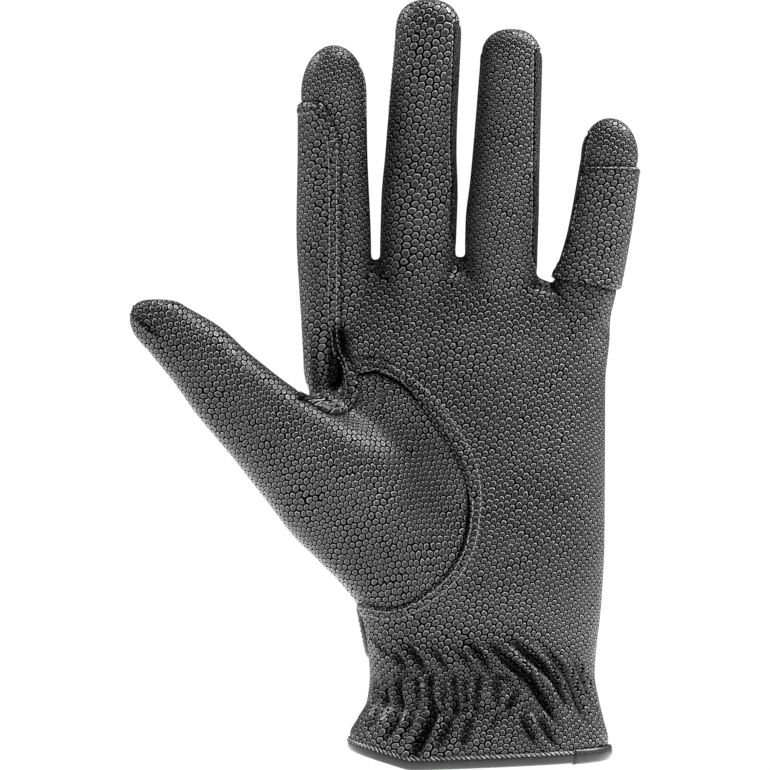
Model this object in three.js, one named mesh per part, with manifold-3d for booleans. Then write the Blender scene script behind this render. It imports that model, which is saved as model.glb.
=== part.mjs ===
// A left-hand riding glove, filled out as if worn, with its palm towards -Y and its fingers towards +Z.
// Millimetres, +Z up. The origin is the middle of the cuff's opening, where the hand goes in.
// The leather is a hollow wall. The hand, wrist and digits are lofted outside and inside, the inside is
// cut from the outside, and the wall is then cut along its seams into the panels that are sewn together.
import * as THREE from 'three';
import { mergeVertices } from 'three/addons/utils/BufferGeometryUtils.js';
import Module from 'manifold-3d';

const wasm = await Module();
wasm.setup();

// Overall sizes
const GLOVE_LENGTH = 240;
const HAND_WIDTH = 100;
const HAND_DEPTH = 32;

// The leather, the seams and what is laid over the leather
const WALL = 1.5;
const GAP = 0.3;
const PATCH_THICKNESS = 1.2;
const FOURCHETTE_WIDTH = 10;

// The cuff's hem, its binding and the gathers at the wrist
const BINDING_THICKNESS = 1;
const BINDING_HEIGHT = 3.4;
const HEM_RISE = 5;
const RUFFLES = 8;
const RUFFLE_DEPTH = 1.3;

// The tab across the back of the wrist
const TAB_WIDTH = 20;
const TAB_THICKNESS = 1.6;
const TAB_REACH = 48;

// The digits, each with its own length from its root in the palm to its tip, and its own width
const INDEX_LENGTH = 93.9;
const INDEX_WIDTH = 21.4;
const MIDDLE_LENGTH = 108;
const MIDDLE_WIDTH = 23.9;
const RING_LENGTH = 98.9;
const RING_WIDTH = 22.9;
const LITTLE_LENGTH = 71.3;
const LITTLE_WIDTH = 20;
const THUMB_LENGTH = 118.8;
const THUMB_WIDTH = 40;
const THUMB_ANGLE = 137.5;
const FINGER_CURL = 9;

// Shares of the overall sizes
const FINGER_ROOT = 0.55;
const KNUCKLES = 0.6;
const FINGER_FLATNESS = 0.93;
const ROOT_TAPER = 0.45;
const THUMB_SEAM_DEPTH = 0.35;
const TAB_TURN = 0.06;
const THUMB_ROOT_ACROSS = -0.22;
const THUMB_ROOT_UP = 0.258;
const TAB_UP = 0.177;

// How square the sections are, how sharply the fingers bend and how narrow the palm's hollow is
const SQUARENESS = 2.3;
const CURL_POWER = 1.6;
const HOLLOW_POWER = 6;

// How finely the round sections are divided. TIP_END is the share of a step that a tip's top is short of
// its pole.
const PALM_SIDES = 32;
const BACK_SIDES = 8;
const FINGER_SIDES = 12;
const THUMB_SIDES = 14;
const TIP_STEPS = 3;
const TIP_END = 0.35;
const TAB_END_STEPS = 12;
const CURL_STEPS = 5;
const FAR = 150;

const LEATHER = { color: 0x2b2b2c, roughness: 0.62, metalness: 0 };
const FOURCHETTE_LEATHER = { color: 0x262627, roughness: 0.66, metalness: 0 };
const PATCH_LEATHER = { color: 0x303031, roughness: 0.58, metalness: 0 };
const SMOOTH_LEATHER = { color: 0x3a3a3b, roughness: 0.42, metalness: 0 };
const TAB_LEATHER = { color: 0x343435, roughness: 0.48, metalness: 0 };

// The hand from hem to finger roots. up and slope (how far the little finger's side drops) are shares of
// GLOVE_LENGTH, left and right of HAND_WIDTH, palm, back and hollow of HAND_DEPTH, ruffle of
// RUFFLE_DEPTH and sweep of HEM_RISE.
const HAND_ROWS = [
  { up: 0.006, left: -0.404, right: 0.4, palm: 0.64, back: 0.6, hollow: 0, ruffle: 0.35, sweep: 1, slope: 0 },
  { up: 0.029, left: -0.408, right: 0.402, palm: 0.68, back: 0.62, hollow: 0, ruffle: 0.6, sweep: 0.7, slope: 0 },
  { up: 0.060, left: -0.384, right: 0.388, palm: 0.64, back: 0.6, hollow: 0, ruffle: 0.9, sweep: 0.2, slope: 0 },
  { up: 0.088, left: -0.354, right: 0.373, palm: 0.57, back: 0.56, hollow: 0, ruffle: 1, sweep: 0, slope: 0 },
  { up: 0.120, left: -0.346, right: 0.36, palm: 0.55, back: 0.54, hollow: 0, ruffle: 1, sweep: 0, slope: 0 },
  { up: 0.218, left: -0.382, right: 0.381, palm: 0.54, back: 0.48, hollow: 0, ruffle: 0.1, sweep: 0, slope: 0 },
  { up: 0.290, left: -0.412, right: 0.39, palm: 0.54, back: 0.46, hollow: 0.02, ruffle: 0, sweep: 0, slope: 0 },
  { up: 0.400, left: -0.475, right: 0.392, palm: 0.5, back: 0.45, hollow: 0.08, ruffle: 0, sweep: 0, slope: 0 },
  { up: 0.500, left: -0.535, right: 0.393, palm: 0.44, back: 0.44, hollow: 0.06, ruffle: 0, sweep: 0, slope: 0 },
  { up: 0.570, left: -0.545, right: 0.407, palm: 0.39, back: 0.41, hollow: 0.02, ruffle: 0, sweep: 0, slope: 0 },
  { up: 0.632, left: -0.525, right: 0.395, palm: 0.27, back: 0.29, hollow: 0, ruffle: 0, sweep: 0, slope: 0.07 },
  { up: 0.650, left: -0.480, right: 0.300, palm: 0.14, back: 0.15, hollow: 0, ruffle: 0, sweep: 0, slope: 0.12 },
];
const HEM_CORNER = -0.55;
const HEM_RIGHT_RISE = 0.5;

// How far below the hem the hand runs on before it is cut, outside and inside, in heights of the binding,
// and how deep and how far to each side the cut goes
const WALL_RUN_ON = 2;
const HOLLOW_RUN_ON = 3;
const HEM_CUT_DEPTH = 4;
const HEM_CUT_REACH = 2;

// Each finger's sections. along is a share of its length, across of HAND_WIDTH and half of its width.
const FINGERS = {
  index: {
    length: INDEX_LENGTH,
    width: INDEX_WIDTH,
    bluntness: 2,
    rows: [
      { along: 0, across: -0.440, half: 0.47 },
      { along: 0.155, across: -0.445, half: 0.51 },
      { along: 0.355, across: -0.453, half: 0.52 },
      { along: 0.656, across: -0.457, half: 0.485 },
      { along: 0.84, across: -0.458, half: 0.478 },
    ],
  },
  middle: {
    length: MIDDLE_LENGTH,
    width: MIDDLE_WIDTH,
    bluntness: 2.5,
    rows: [
      { along: 0, across: -0.198, half: 0.46 },
      { along: 0.134, across: -0.198, half: 0.49 },
      { along: 0.425, across: -0.190, half: 0.501 },
      { along: 0.57, across: -0.185, half: 0.466 },
      { along: 0.895, across: -0.163, half: 0.431 },
    ],
  },
  ring: {
    length: RING_LENGTH,
    width: RING_WIDTH,
    bluntness: 2.4,
    rows: [
      { along: 0, across: 0.058, half: 0.455 },
      { along: 0.147, across: 0.063, half: 0.49 },
      { along: 0.4, across: 0.069, half: 0.5 },
      { along: 0.527, across: 0.077, half: 0.473 },
      { along: 0.889, across: 0.096, half: 0.425 },
    ],
  },
  little: {
    length: LITTLE_LENGTH,
    width: LITTLE_WIDTH,
    bluntness: 2.05,
    rows: [
      { along: 0, across: 0.289, half: 0.475 },
      { along: 0.16, across: 0.314, half: 0.50 },
      { along: 0.27, across: 0.330, half: 0.515 },
      { along: 0.512, across: 0.370, half: 0.475 },
      { along: 0.828, across: 0.405, half: 0.448 },
    ],
  },
};

// The thumb, along its own slanted axis. along is a share of THUMB_LENGTH, drift (sideways, towards the
// fingers) and half of THUMB_WIDTH, and front (towards the palm's side) and deep of HAND_DEPTH.
const THUMB_BLUNTNESS = 2.3;
const THUMB_ROWS = [
  { along: -0.06, drift: 0, front: 0.02, half: 0.24, deep: 0.24 },
  { along: 0.11, drift: 0.042, front: 0.15, half: 0.47, deep: 0.44 },
  { along: 0.249, drift: 0.098, front: 0.28, half: 0.518, deep: 0.48 },
  { along: 0.411, drift: 0.094, front: 0.41, half: 0.439, deep: 0.44 },
  { along: 0.551, drift: 0.084, front: 0.51, half: 0.358, deep: 0.38 },
  { along: 0.804, drift: 0.13, front: 0.65, half: 0.273, deep: 0.30 },
  { along: 0.899, drift: 0.12, front: 0.69, half: 0.222, deep: 0.25 },
];

// The thumb's seam: across is a share of HAND_WIDTH and up of GLOVE_LENGTH, on the palm's side and,
// under backAcross and backUp, on the back. The last four points close the outline round the thumb.
const THUMB_SEAM = [
  { across: -0.330, up: 0.517, backAcross: -0.430, backUp: 0.517 },
  { across: -0.255, up: 0.502, backAcross: -0.400, backUp: 0.490 },
  { across: -0.194, up: 0.478, backAcross: -0.375, backUp: 0.460 },
  { across: -0.107, up: 0.430, backAcross: -0.350, backUp: 0.420 },
  { across: -0.047, up: 0.378, backAcross: -0.330, backUp: 0.375 },
  { across: -0.041, up: 0.324, backAcross: -0.320, backUp: 0.330 },
  { across: -0.072, up: 0.277, backAcross: -0.320, backUp: 0.285 },
  { across: -0.141, up: 0.241, backAcross: -0.330, backUp: 0.250 },
  { across: -0.257, up: 0.212, backAcross: -0.350, backUp: 0.222 },
  { across: -0.365, up: 0.214, backAcross: -0.390, backUp: 0.214 },
  { across: -2.2, up: 0.20, backAcross: -2.2, backUp: 0.20 },
  { across: -2.2, up: 1.1, backAcross: -2.2, backUp: 1.1 },
  { across: -0.80, up: 0.70, backAcross: -0.80, backUp: 0.70 },
  { across: -0.575, up: 0.500, backAcross: -0.575, backUp: 0.505 },
];

// The index finger's patch, on the palm's side: across of HAND_WIDTH, and along of the finger's length
// where it lies on the finger. Below the palm's top it is up, a share of GLOVE_LENGTH.
const INDEX_PATCH_ON_FINGER = [
  { across: -0.9, along: 0.80 },
  { across: -0.565, along: 0.81 },
  { across: -0.499, along: 0.805 },
  { across: -0.460, along: 0.74 },
  { across: -0.439, along: 0.66 },
  { across: -0.434, along: 0.40 },
];
const INDEX_PATCH_ON_HAND = [
  { across: -0.436, up: 0.617 },
  { across: -0.433, up: 0.552 },
  { across: -0.398, up: 0.524 },
  { across: -0.376, up: 0.495 },
  { across: -0.405, up: 0.468 },
  { across: -0.464, up: 0.462 },
  { across: -0.540, up: 0.480 },
  { across: -0.9, up: 0.485 },
];

// The little finger's patch: along is a share of the finger's length and across of HAND_WIDTH.
const LITTLE_PATCH = [
  { across: 0.20, along: 0.305 },
  { across: 0.275, along: 0.285 },
  { across: 0.395, along: 0.250 },
  { across: 0.60, along: 0.240 },
  { across: 0.60, along: 0.785 },
  { across: 0.25, along: 0.785 },
];
const LITTLE_PATCH_WRAP = 0.12;

// Each strip between two fingers, from below the crotch to near the lower tip.
const FOURCHETTES = [
  { left: 'index', right: 'middle', bottom: 0.625 },
  { left: 'middle', right: 'ring', bottom: 0.628 },
  { left: 'ring', right: 'little', bottom: 0.592 },
];
const FOURCHETTE_TOP = 0.87;
const FOURCHETTE_SET_FORWARD = 1;
const SIDE_SEAM_SET_BACK = 3;

// Basic solids

function solidFrom(geometry) {
  const bare = geometry.clone();
  bare.deleteAttribute('normal');
  bare.deleteAttribute('uv');
  const merged = mergeVertices(bare, 1e-4);
  return new wasm.Manifold(new wasm.Mesh({
    numProp: 3,
    vertProperties: new Float32Array(merged.attributes.position.array),
    triVerts: new Uint32Array(merged.index.array),
  }));
}

function signedVolume(points, faces) {
  let volume = 0;
  for (let i = 0; i < faces.length; i += 3) {
    const [a, b, c] = [points[faces[i]], points[faces[i + 1]], points[faces[i + 2]]];
    volume += a.dot(b.clone().cross(c)) / 6;
  }
  return volume;
}

// The faces between each ring of points and the next, all rings having equal point counts
function sideFaces(ringCount, pointCount) {
  const faces = [];
  for (let r = 0; r < ringCount; r += 1) {
    for (let i = 0; i < pointCount; i += 1) {
      const a = r * pointCount + i;
      const b = r * pointCount + ((i + 1) % pointCount);
      faces.push(a, b, b + pointCount);
      faces.push(a, b + pointCount, a + pointCount);
    }
  }
  return faces;
}

function solidFromFaces(points, faces) {
  if (signedVolume(points, faces) < 0) {
    faces.reverse();
  }
  const geometry = new THREE.BufferGeometry().setFromPoints(points);
  geometry.setIndex(faces);
  return solidFrom(geometry);
}

// A closed solid through rings, with a cap at each end. flatten turns a ring's point into the plane
// coordinates that its cap is divided in.
function loft(rings, flatten) {
  const points = rings.flat();
  const faces = sideFaces(rings.length - 1, rings[0].length);
  const last = points.length - rings[0].length;
  const foot = rings[0].map(flatten);
  const head = rings.at(-1).map(flatten);
  const turned = THREE.ShapeUtils.isClockWise(foot);
  for (const [a, b, c] of THREE.ShapeUtils.triangulateShape(foot, [])) {
    faces.push(...(turned ? [a, b, c] : [a, c, b]));
  }
  for (const [a, b, c] of THREE.ShapeUtils.triangulateShape(head, [])) {
    faces.push(...(turned ? [a, c, b] : [a, b, c]).map((corner) => last + corner));
  }
  return solidFromFaces(points, faces);
}

// A closed hoop whose skins are rings: the last skin joins on to the first
function hoop(skins) {
  const points = skins.flat();
  const faces = sideFaces(skins.length, skins[0].length).map((corner) => corner % points.length);
  return solidFromFaces(points, faces);
}

// A power of a sine or cosine that keeps its sign, for a section between an ellipse and a box
function squared(value, power) {
  return Math.sign(value) * Math.abs(value) ** (2 / power);
}

function union(solids) {
  return solids.reduce((whole, solid) => whole.add(solid));
}

// Seams leave loose slivers of wall beside them, so a panel is its largest piece
function panel(solid) {
  const pieces = solid.decompose();
  return pieces.reduce((best, piece) => (piece.volume() > best.volume() ? piece : best));
}

// How far the fingers bend towards the palm's side at a height
function curl(height) {
  const start = KNUCKLES * GLOVE_LENGTH;
  const share = Math.max(0, height - start) / (GLOVE_LENGTH - start);
  return -FINGER_CURL * share ** CURL_POWER;
}

// The angles of the hand's section: the palm's half, which has the gathers, is divided more finely
function handAngles() {
  const palm = Array.from({ length: PALM_SIDES }, (_, i) => Math.PI + (Math.PI * i) / PALM_SIDES);
  const back = Array.from({ length: BACK_SIDES }, (_, i) => (Math.PI * i) / BACK_SIDES);
  return [...palm, ...back];
}

// How far the hem stands above its lowest point: on the palm's side a corner towards the thumb hangs lowest
function hemRise(sideways, onPalm) {
  if (!onPalm) {
    return THREE.MathUtils.lerp(1, HEM_RIGHT_RISE, (sideways + 1) / 2);
  }
  if (sideways < HEM_CORNER) {
    return (HEM_CORNER - sideways) / (1 + HEM_CORNER);
  }
  return (HEM_RIGHT_RISE * (sideways - HEM_CORNER)) / (1 - HEM_CORNER);
}

function handRing(row, height, grow) {
  const left = row.left * HAND_WIDTH - grow;
  const right = row.right * HAND_WIDTH + grow;
  const middle = (left + right) / 2;
  const half = (right - left) / 2;
  return handAngles().map((angle) => {
    const toPalm = Math.max(0, -Math.sin(angle));
    const wave = Math.sin(2 * RUFFLES * (angle - Math.PI));
    const deep = (toPalm > 0 ? row.palm : row.back) * HAND_DEPTH + grow;
    const ruffle = row.ruffle * RUFFLE_DEPTH * wave * Math.sqrt(toPalm);
    const dent = row.hollow * HAND_DEPTH * toPalm ** HOLLOW_POWER;
    const sideways = squared(Math.cos(angle), SQUARENESS);
    const x = middle + half * sideways;
    const y = (deep + ruffle) * squared(Math.sin(angle), SQUARENESS) + dent;
    const rise = row.sweep * HEM_RISE * hemRise(sideways, toPalm > 0);
    const drop = row.slope * GLOVE_LENGTH * Math.max(0, x / HAND_WIDTH);
    return new THREE.Vector3(x, y + curl(height), height + rise - drop);
  });
}

// The hand's edge towards the thumb at a height
function handLeft(height) {
  const upper = HAND_ROWS.findIndex((row) => row.up * GLOVE_LENGTH > height);
  const [a, b] = [HAND_ROWS[upper - 1], HAND_ROWS[upper]];
  const share = (height / GLOVE_LENGTH - a.up) / (b.up - a.up);
  return THREE.MathUtils.lerp(a.left, b.left, share) * HAND_WIDTH;
}

// A ring at a height near the hem, for what follows the hem's line
function hemRing(height, grow) {
  const [base, next] = HAND_ROWS;
  const share = (height / GLOVE_LENGTH - base.up) / (next.up - base.up);
  const entries = Object.keys(base).map((key) => [key, THREE.MathUtils.lerp(base[key], next[key], share)]);
  return handRing(Object.fromEntries(entries), height, grow);
}

// The hand, wrist and cuff as one solid, grown outwards or, below zero, shrunk. It runs on below the hem,
// and further where it is shrunk, so that the cuff is open.
function hand(grow) {
  const rings = HAND_ROWS.map((row) => handRing(row, row.up * GLOVE_LENGTH, grow));
  const top = HAND_ROWS.at(-1);
  rings[rings.length - 1] = handRing(top, top.up * GLOVE_LENGTH + grow, grow);
  rings.unshift(handRing(HAND_ROWS[0], -(grow < 0 ? HOLLOW_RUN_ON : WALL_RUN_ON) * BINDING_HEIGHT, grow));
  return loft(rings, (point) => new THREE.Vector2(point.x, point.y));
}

// A finger's centre line and half width at a share of its length
function fingerAt(finger, along) {
  const rows = finger.rows;
  const next = Math.max(1, rows.findIndex((row) => row.along >= along));
  const upper = rows[along > rows.at(-1).along ? rows.length - 1 : next];
  const lower = rows[rows.indexOf(upper) - 1];
  const share = (along - lower.along) / (upper.along - lower.along);
  return {
    across: THREE.MathUtils.lerp(lower.across, upper.across, share) * HAND_WIDTH,
    half: THREE.MathUtils.lerp(lower.half, upper.half, share) * finger.width,
    height: FINGER_ROOT * GLOVE_LENGTH + along * finger.length,
  };
}

function roundRing(centre, sideways, outwards, half, deep, sides) {
  return Array.from({ length: sides }, (_, i) => {
    const angle = (2 * Math.PI * (i + 0.5)) / sides;
    const x = half * squared(Math.cos(angle), SQUARENESS);
    const y = deep * squared(Math.sin(angle), SQUARENESS);
    return centre.clone().addScaledVector(sideways, x).addScaledVector(outwards, y);
  });
}

// The shares of width and of height of each ring in a rounded tip, from its start to its top
function tipSteps(bluntness) {
  return Array.from({ length: TIP_STEPS }, (_, i) => {
    const angle = (Math.PI / 2) * ((i + 1) / (TIP_STEPS + TIP_END));
    return { width: squared(Math.cos(angle), bluntness), rise: squared(Math.sin(angle), bluntness) };
  });
}

function finger(name, grow) {
  const { length, rows, bluntness } = FINGERS[name];
  const X = new THREE.Vector3(1, 0, 0);
  const Y = new THREE.Vector3(0, 1, 0);
  const ringAt = (section, height, scale) => {
    const half = (section.half + grow) * scale;
    const deep = (section.half * FINGER_FLATNESS + grow) * scale;
    return roundRing(new THREE.Vector3(section.across, curl(height), height), X, Y, half, deep, FINGER_SIDES);
  };
  const sections = rows.map((row) => fingerAt(FINGERS[name], row.along));
  const rings = sections.map((section) => ringAt(section, section.height, 1));
  rings.unshift(ringAt(sections[0], sections[0].height - FINGERS[name].width, ROOT_TAPER));
  const end = sections.at(-1);
  const rise = FINGER_ROOT * GLOVE_LENGTH + length + grow - end.height;
  for (const step of tipSteps(bluntness)) {
    rings.push(ringAt(end, end.height + rise * step.rise, step.width));
  }
  return loft(rings, (point) => new THREE.Vector2(point.x, point.y));
}

function thumb(grow) {
  const angle = THREE.MathUtils.degToRad(THUMB_ANGLE);
  const along = new THREE.Vector3(Math.cos(angle), 0, Math.sin(angle));
  const drift = new THREE.Vector3(Math.sin(angle), 0, -Math.cos(angle));
  const Y = new THREE.Vector3(0, 1, 0);
  const root = new THREE.Vector3(THUMB_ROOT_ACROSS * HAND_WIDTH, 0, THUMB_ROOT_UP * GLOVE_LENGTH);
  const ringAt = (row, distance, scale) => {
    const centre = root.clone().addScaledVector(along, distance);
    centre.addScaledVector(drift, row.drift * THUMB_WIDTH);
    centre.y -= row.front * HAND_DEPTH;
    const half = (row.half * THUMB_WIDTH + grow) * scale;
    const deep = (row.deep * HAND_DEPTH + grow) * scale;
    return roundRing(centre, drift, Y, half, deep, THUMB_SIDES);
  };
  const rings = THUMB_ROWS.map((row) => ringAt(row, row.along * THUMB_LENGTH, 1));
  const end = THUMB_ROWS.at(-1);
  const rise = (1 - end.along) * THUMB_LENGTH + grow;
  for (const step of tipSteps(THUMB_BLUNTNESS)) {
    rings.push(ringAt(end, end.along * THUMB_LENGTH + rise * step.rise, step.width));
  }
  return loft(rings, (point) => new THREE.Vector2(point.dot(drift), point.y));
}

// Regions that the wall is cut along

// A flat outline of X and Z pairs, run straight through from front to back
function throughRegion(outline, front, back) {
  const shape = new THREE.Shape(outline.map(([x, z]) => new THREE.Vector2(x, z)));
  const geometry = new THREE.ExtrudeGeometry(shape, { depth: back - front, bevelEnabled: false });
  geometry.rotateX(Math.PI / 2);
  geometry.translate(0, back, 0);
  return solidFrom(geometry);
}

// Everything between two distances behind the fingers' bent middle surface
function curledSlab(front, back) {
  const start = KNUCKLES * GLOVE_LENGTH;
  const bend = Array.from({ length: CURL_STEPS + 1 }, (_, i) => start + ((GLOVE_LENGTH - start) * i) / CURL_STEPS);
  const rings = [-FAR, ...bend, GLOVE_LENGTH + FAR].map((height) => {
    const y = curl(Math.min(height, GLOVE_LENGTH));
    return [
      new THREE.Vector3(-2 * FAR, y + front, height),
      new THREE.Vector3(2 * FAR, y + front, height),
      new THREE.Vector3(2 * FAR, y + back, height),
      new THREE.Vector3(-2 * FAR, y + back, height),
    ];
  });
  return loft(rings, (point) => new THREE.Vector2(point.x, point.y));
}

// Moves each point of a closed outline outwards by a distance
function offsetOutline(outline, distance) {
  const area = THREE.ShapeUtils.area(outline.map(([x, z]) => new THREE.Vector2(x, z)));
  const turn = Math.sign(area);
  return outline.map((point, i) => {
    const before = outline.at(i - 1);
    const after = outline[(i + 1) % outline.length];
    const first = new THREE.Vector2(point[0] - before[0], point[1] - before[1]).normalize();
    const second = new THREE.Vector2(after[0] - point[0], after[1] - point[1]).normalize();
    const normal = new THREE.Vector2((first.y + second.y) * turn, -(first.x + second.x) * turn);
    const scale = distance / (0.5 * normal.lengthSq());
    return [point[0] + normal.x * scale, point[1] + normal.y * scale];
  });
}

// The thumb's share of the wall: the seam's outline on the palm's side, drawn over to the one on the back
function thumbRegion(grow) {
  const palmSide = THUMB_SEAM.map((row) => [row.across * HAND_WIDTH, row.up * GLOVE_LENGTH]);
  const backSide = THUMB_SEAM.map((row) => [row.backAcross * HAND_WIDTH, row.backUp * GLOVE_LENGTH]);
  const layer = (outline, y) => offsetOutline(outline, grow).map(([x, z]) => new THREE.Vector3(x, y, z));
  const rings = [
    layer(palmSide, -FAR),
    layer(palmSide, -THUMB_SEAM_DEPTH * HAND_DEPTH),
    layer(backSide, THUMB_SEAM_DEPTH * HAND_DEPTH),
    layer(backSide, FAR),
  ];
  return loft(rings, (point) => new THREE.Vector2(point.x, point.z));
}

// The middle of the gap between two fingers at a height
function gapAt(left, right, height) {
  const alongAt = (name) => (height - FINGER_ROOT * GLOVE_LENGTH) / FINGERS[name].length;
  const leftSide = fingerAt(FINGERS[left], alongAt(left));
  const rightSide = fingerAt(FINGERS[right], alongAt(right));
  return (leftSide.across + leftSide.half + rightSide.across - rightSide.half) / 2;
}

function fourchetteRegion({ left, right, bottom }, grow) {
  const low = bottom * GLOVE_LENGTH;
  const alongAt = (name) => (low - FINGER_ROOT * GLOVE_LENGTH) / FINGERS[name].length;
  const leftFoot = fingerAt(FINGERS[left], alongAt(left));
  const rightFoot = fingerAt(FINGERS[right], alongAt(right));
  const leftTop = fingerAt(FINGERS[left], FOURCHETTE_TOP);
  const rightTop = fingerAt(FINGERS[right], FOURCHETTE_TOP);
  const outline = [
    [leftFoot.across, low],
    [rightFoot.across, low],
    [rightTop.across, rightTop.height],
    [gapAt(left, right, rightTop.height), rightTop.height],
    [gapAt(left, right, leftTop.height), leftTop.height],
    [leftTop.across, leftTop.height],
  ];
  const front = -FOURCHETTE_WIDTH / 2 - FOURCHETTE_SET_FORWARD - grow;
  const back = FOURCHETTE_WIDTH / 2 - FOURCHETTE_SET_FORWARD + grow;
  return throughRegion(offsetOutline(outline, grow), -FAR, FAR).intersect(curledSlab(front, back));
}

// The parts

// What is cut away below the hem's line
function belowHem() {
  const hem = HAND_ROWS[0].up * GLOVE_LENGTH;
  const low = -HEM_CUT_DEPTH * BINDING_HEIGHT;
  const reach = HEM_CUT_REACH * BINDING_HEIGHT;
  return hoop([hemRing(low, reach), hemRing(hem, reach), hemRing(hem, -reach), hemRing(low, -reach)]);
}

function allParts(grow) {
  return union([hand(grow), thumb(grow), ...Object.keys(FINGERS).map((name) => finger(name, grow))]);
}

const wall = allParts(0).subtract(allParts(-WALL)).subtract(belowHem());

// The thumb reaches over the palm, so its own surface decides what it takes of the wall in front
function buildThumb() {
  return panel(wall.intersect(thumbRegion(0)));
}

const handWall = wall.subtract(thumbRegion(GAP));

function buildFourchette(strip) {
  return panel(handWall.intersect(fourchetteRegion(strip, 0)));
}

const sewnWall = FOURCHETTES.reduce((rest, strip) => rest.subtract(fourchetteRegion(strip, GAP)), handWall);

function buildPalm() {
  return panel(sewnWall.intersect(curledSlab(-FAR, SIDE_SEAM_SET_BACK - GAP / 2)));
}

function buildBack() {
  return panel(sewnWall.intersect(curledSlab(SIDE_SEAM_SET_BACK + GAP / 2, FAR)));
}

// A second layer of leather over solids that are given as functions of their growth
function layerOver(builders, thickness) {
  const upper = union(builders.map((build) => build(GAP + thickness)));
  const lower = union(builders.map((build) => build(GAP)));
  return upper.subtract(lower);
}

function buildIndexPatch() {
  const { length } = FINGERS.index;
  const root = FINGER_ROOT * GLOVE_LENGTH;
  const outline = [
    ...INDEX_PATCH_ON_FINGER.map((row) => [row.across * HAND_WIDTH, root + row.along * length]),
    ...INDEX_PATCH_ON_HAND.map((row) => [row.across * HAND_WIDTH, row.up * GLOVE_LENGTH]),
  ];
  const layer = layerOver([hand, (grow) => finger('index', grow)], PATCH_THICKNESS);
  return panel(layer.intersect(throughRegion(outline, -FAR, FAR)).subtract(thumb(GAP)));
}

function buildLittlePatch() {
  const { length } = FINGERS.little;
  const root = FINGER_ROOT * GLOVE_LENGTH;
  const outline = LITTLE_PATCH.map((row) => [row.across * HAND_WIDTH, root + row.along * length]);
  const layer = layerOver([hand, (grow) => finger('little', grow)], PATCH_THICKNESS);
  const wrap = curledSlab(-FAR, LITTLE_PATCH_WRAP * HAND_DEPTH);
  const clear = finger('ring', GAP);
  return panel(layer.intersect(throughRegion(outline, -FAR, FAR)).intersect(wrap).subtract(clear));
}

// A channel folded over the hem, with room for the leather's edge between its two sides
function buildBinding() {
  const hem = HAND_ROWS[0].up * GLOVE_LENGTH;
  const bottom = hem - GAP - BINDING_THICKNESS;
  const top = hem + BINDING_HEIGHT;
  return hoop([
    hemRing(bottom, GAP + BINDING_THICKNESS),
    hemRing(top, GAP + BINDING_THICKNESS),
    hemRing(top, GAP),
    hemRing(hem - GAP, GAP),
    hemRing(hem - GAP, -WALL - GAP),
    hemRing(top, -WALL - GAP),
    hemRing(top, -WALL - GAP - BINDING_THICKNESS),
    hemRing(bottom, -WALL - GAP - BINDING_THICKNESS),
  ]);
}

// The tab lies over the back of the wrist, and its round end turns the edge on the thumb's side
function buildTab() {
  const radius = TAB_WIDTH / 2;
  const centre = TAB_UP * GLOVE_LENGTH;
  const turned = TAB_TURN * HAND_DEPTH;
  const shape = new THREE.Shape();
  shape.moveTo(FAR, centre - radius);
  shape.lineTo(FAR, centre + radius);
  shape.lineTo(radius - turned, centre + radius);
  shape.absarc(radius - turned, centre, radius, Math.PI / 2, (3 * Math.PI) / 2, false);
  const geometry = new THREE.ExtrudeGeometry(shape, { depth: FAR, bevelEnabled: false, curveSegments: TAB_END_STEPS });
  geometry.rotateX(Math.PI / 2);
  geometry.rotateZ(Math.PI / 2);
  geometry.translate(handLeft(centre) + TAB_REACH - FAR, 0, 0);
  const layer = layerOver([hand], TAB_THICKNESS);
  return panel(layer.intersect(solidFrom(geometry)));
}

// The scene graph: one named mesh for each piece
function pieceMesh(name, solid, finish) {
  const mesh = solid.getMesh();
  const geometry = new THREE.BufferGeometry();
  geometry.setAttribute('position', new THREE.BufferAttribute(new Float32Array(mesh.vertProperties), 3));
  geometry.setIndex(new THREE.BufferAttribute(new Uint32Array(mesh.triVerts), 1));
  geometry.computeVertexNormals();
  const piece = new THREE.Mesh(geometry, new THREE.MeshStandardMaterial(finish));
  piece.name = name;
  return piece;
}

const glove = new THREE.Group();
glove.add(pieceMesh('palm_panel', buildPalm(), LEATHER));
glove.add(pieceMesh('back_panel', buildBack(), LEATHER));
glove.add(pieceMesh('thumb', buildThumb(), LEATHER));
for (const strip of FOURCHETTES) {
  glove.add(pieceMesh(`fourchette_${strip.left}_${strip.right}`, buildFourchette(strip), FOURCHETTE_LEATHER));
}
glove.add(pieceMesh('index_patch', buildIndexPatch(), PATCH_LEATHER));
glove.add(pieceMesh('little_patch', buildLittlePatch(), PATCH_LEATHER));
glove.add(pieceMesh('hem_binding', buildBinding(), SMOOTH_LEATHER));
glove.add(pieceMesh('closure_tab', buildTab(), TAB_LEATHER));

export default glove;
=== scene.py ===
"""Looks of a left-hand riding glove in dark grained leather, filled out as if worn.

The outer surface is one smooth blend of the hand, the four fingers and the thumb, with the same sizes and
sections as the solid model. It is cut along the seams into the panels that are sewn together, each panel
becomes a thin shell, and the patches, the binding, the closure tab and the stitches are laid on it.
Lengths are millimetres until a mesh is made, which is in metres.
"""

import logging
import math
import time
from dataclasses import dataclass, field
from enum import IntEnum
from typing import Callable, Sequence

import bpy
import numpy as np
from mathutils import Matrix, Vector
from mathutils.bvhtree import BVHTree
from mathutils.kdtree import KDTree
from numpy.typing import NDArray


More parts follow.
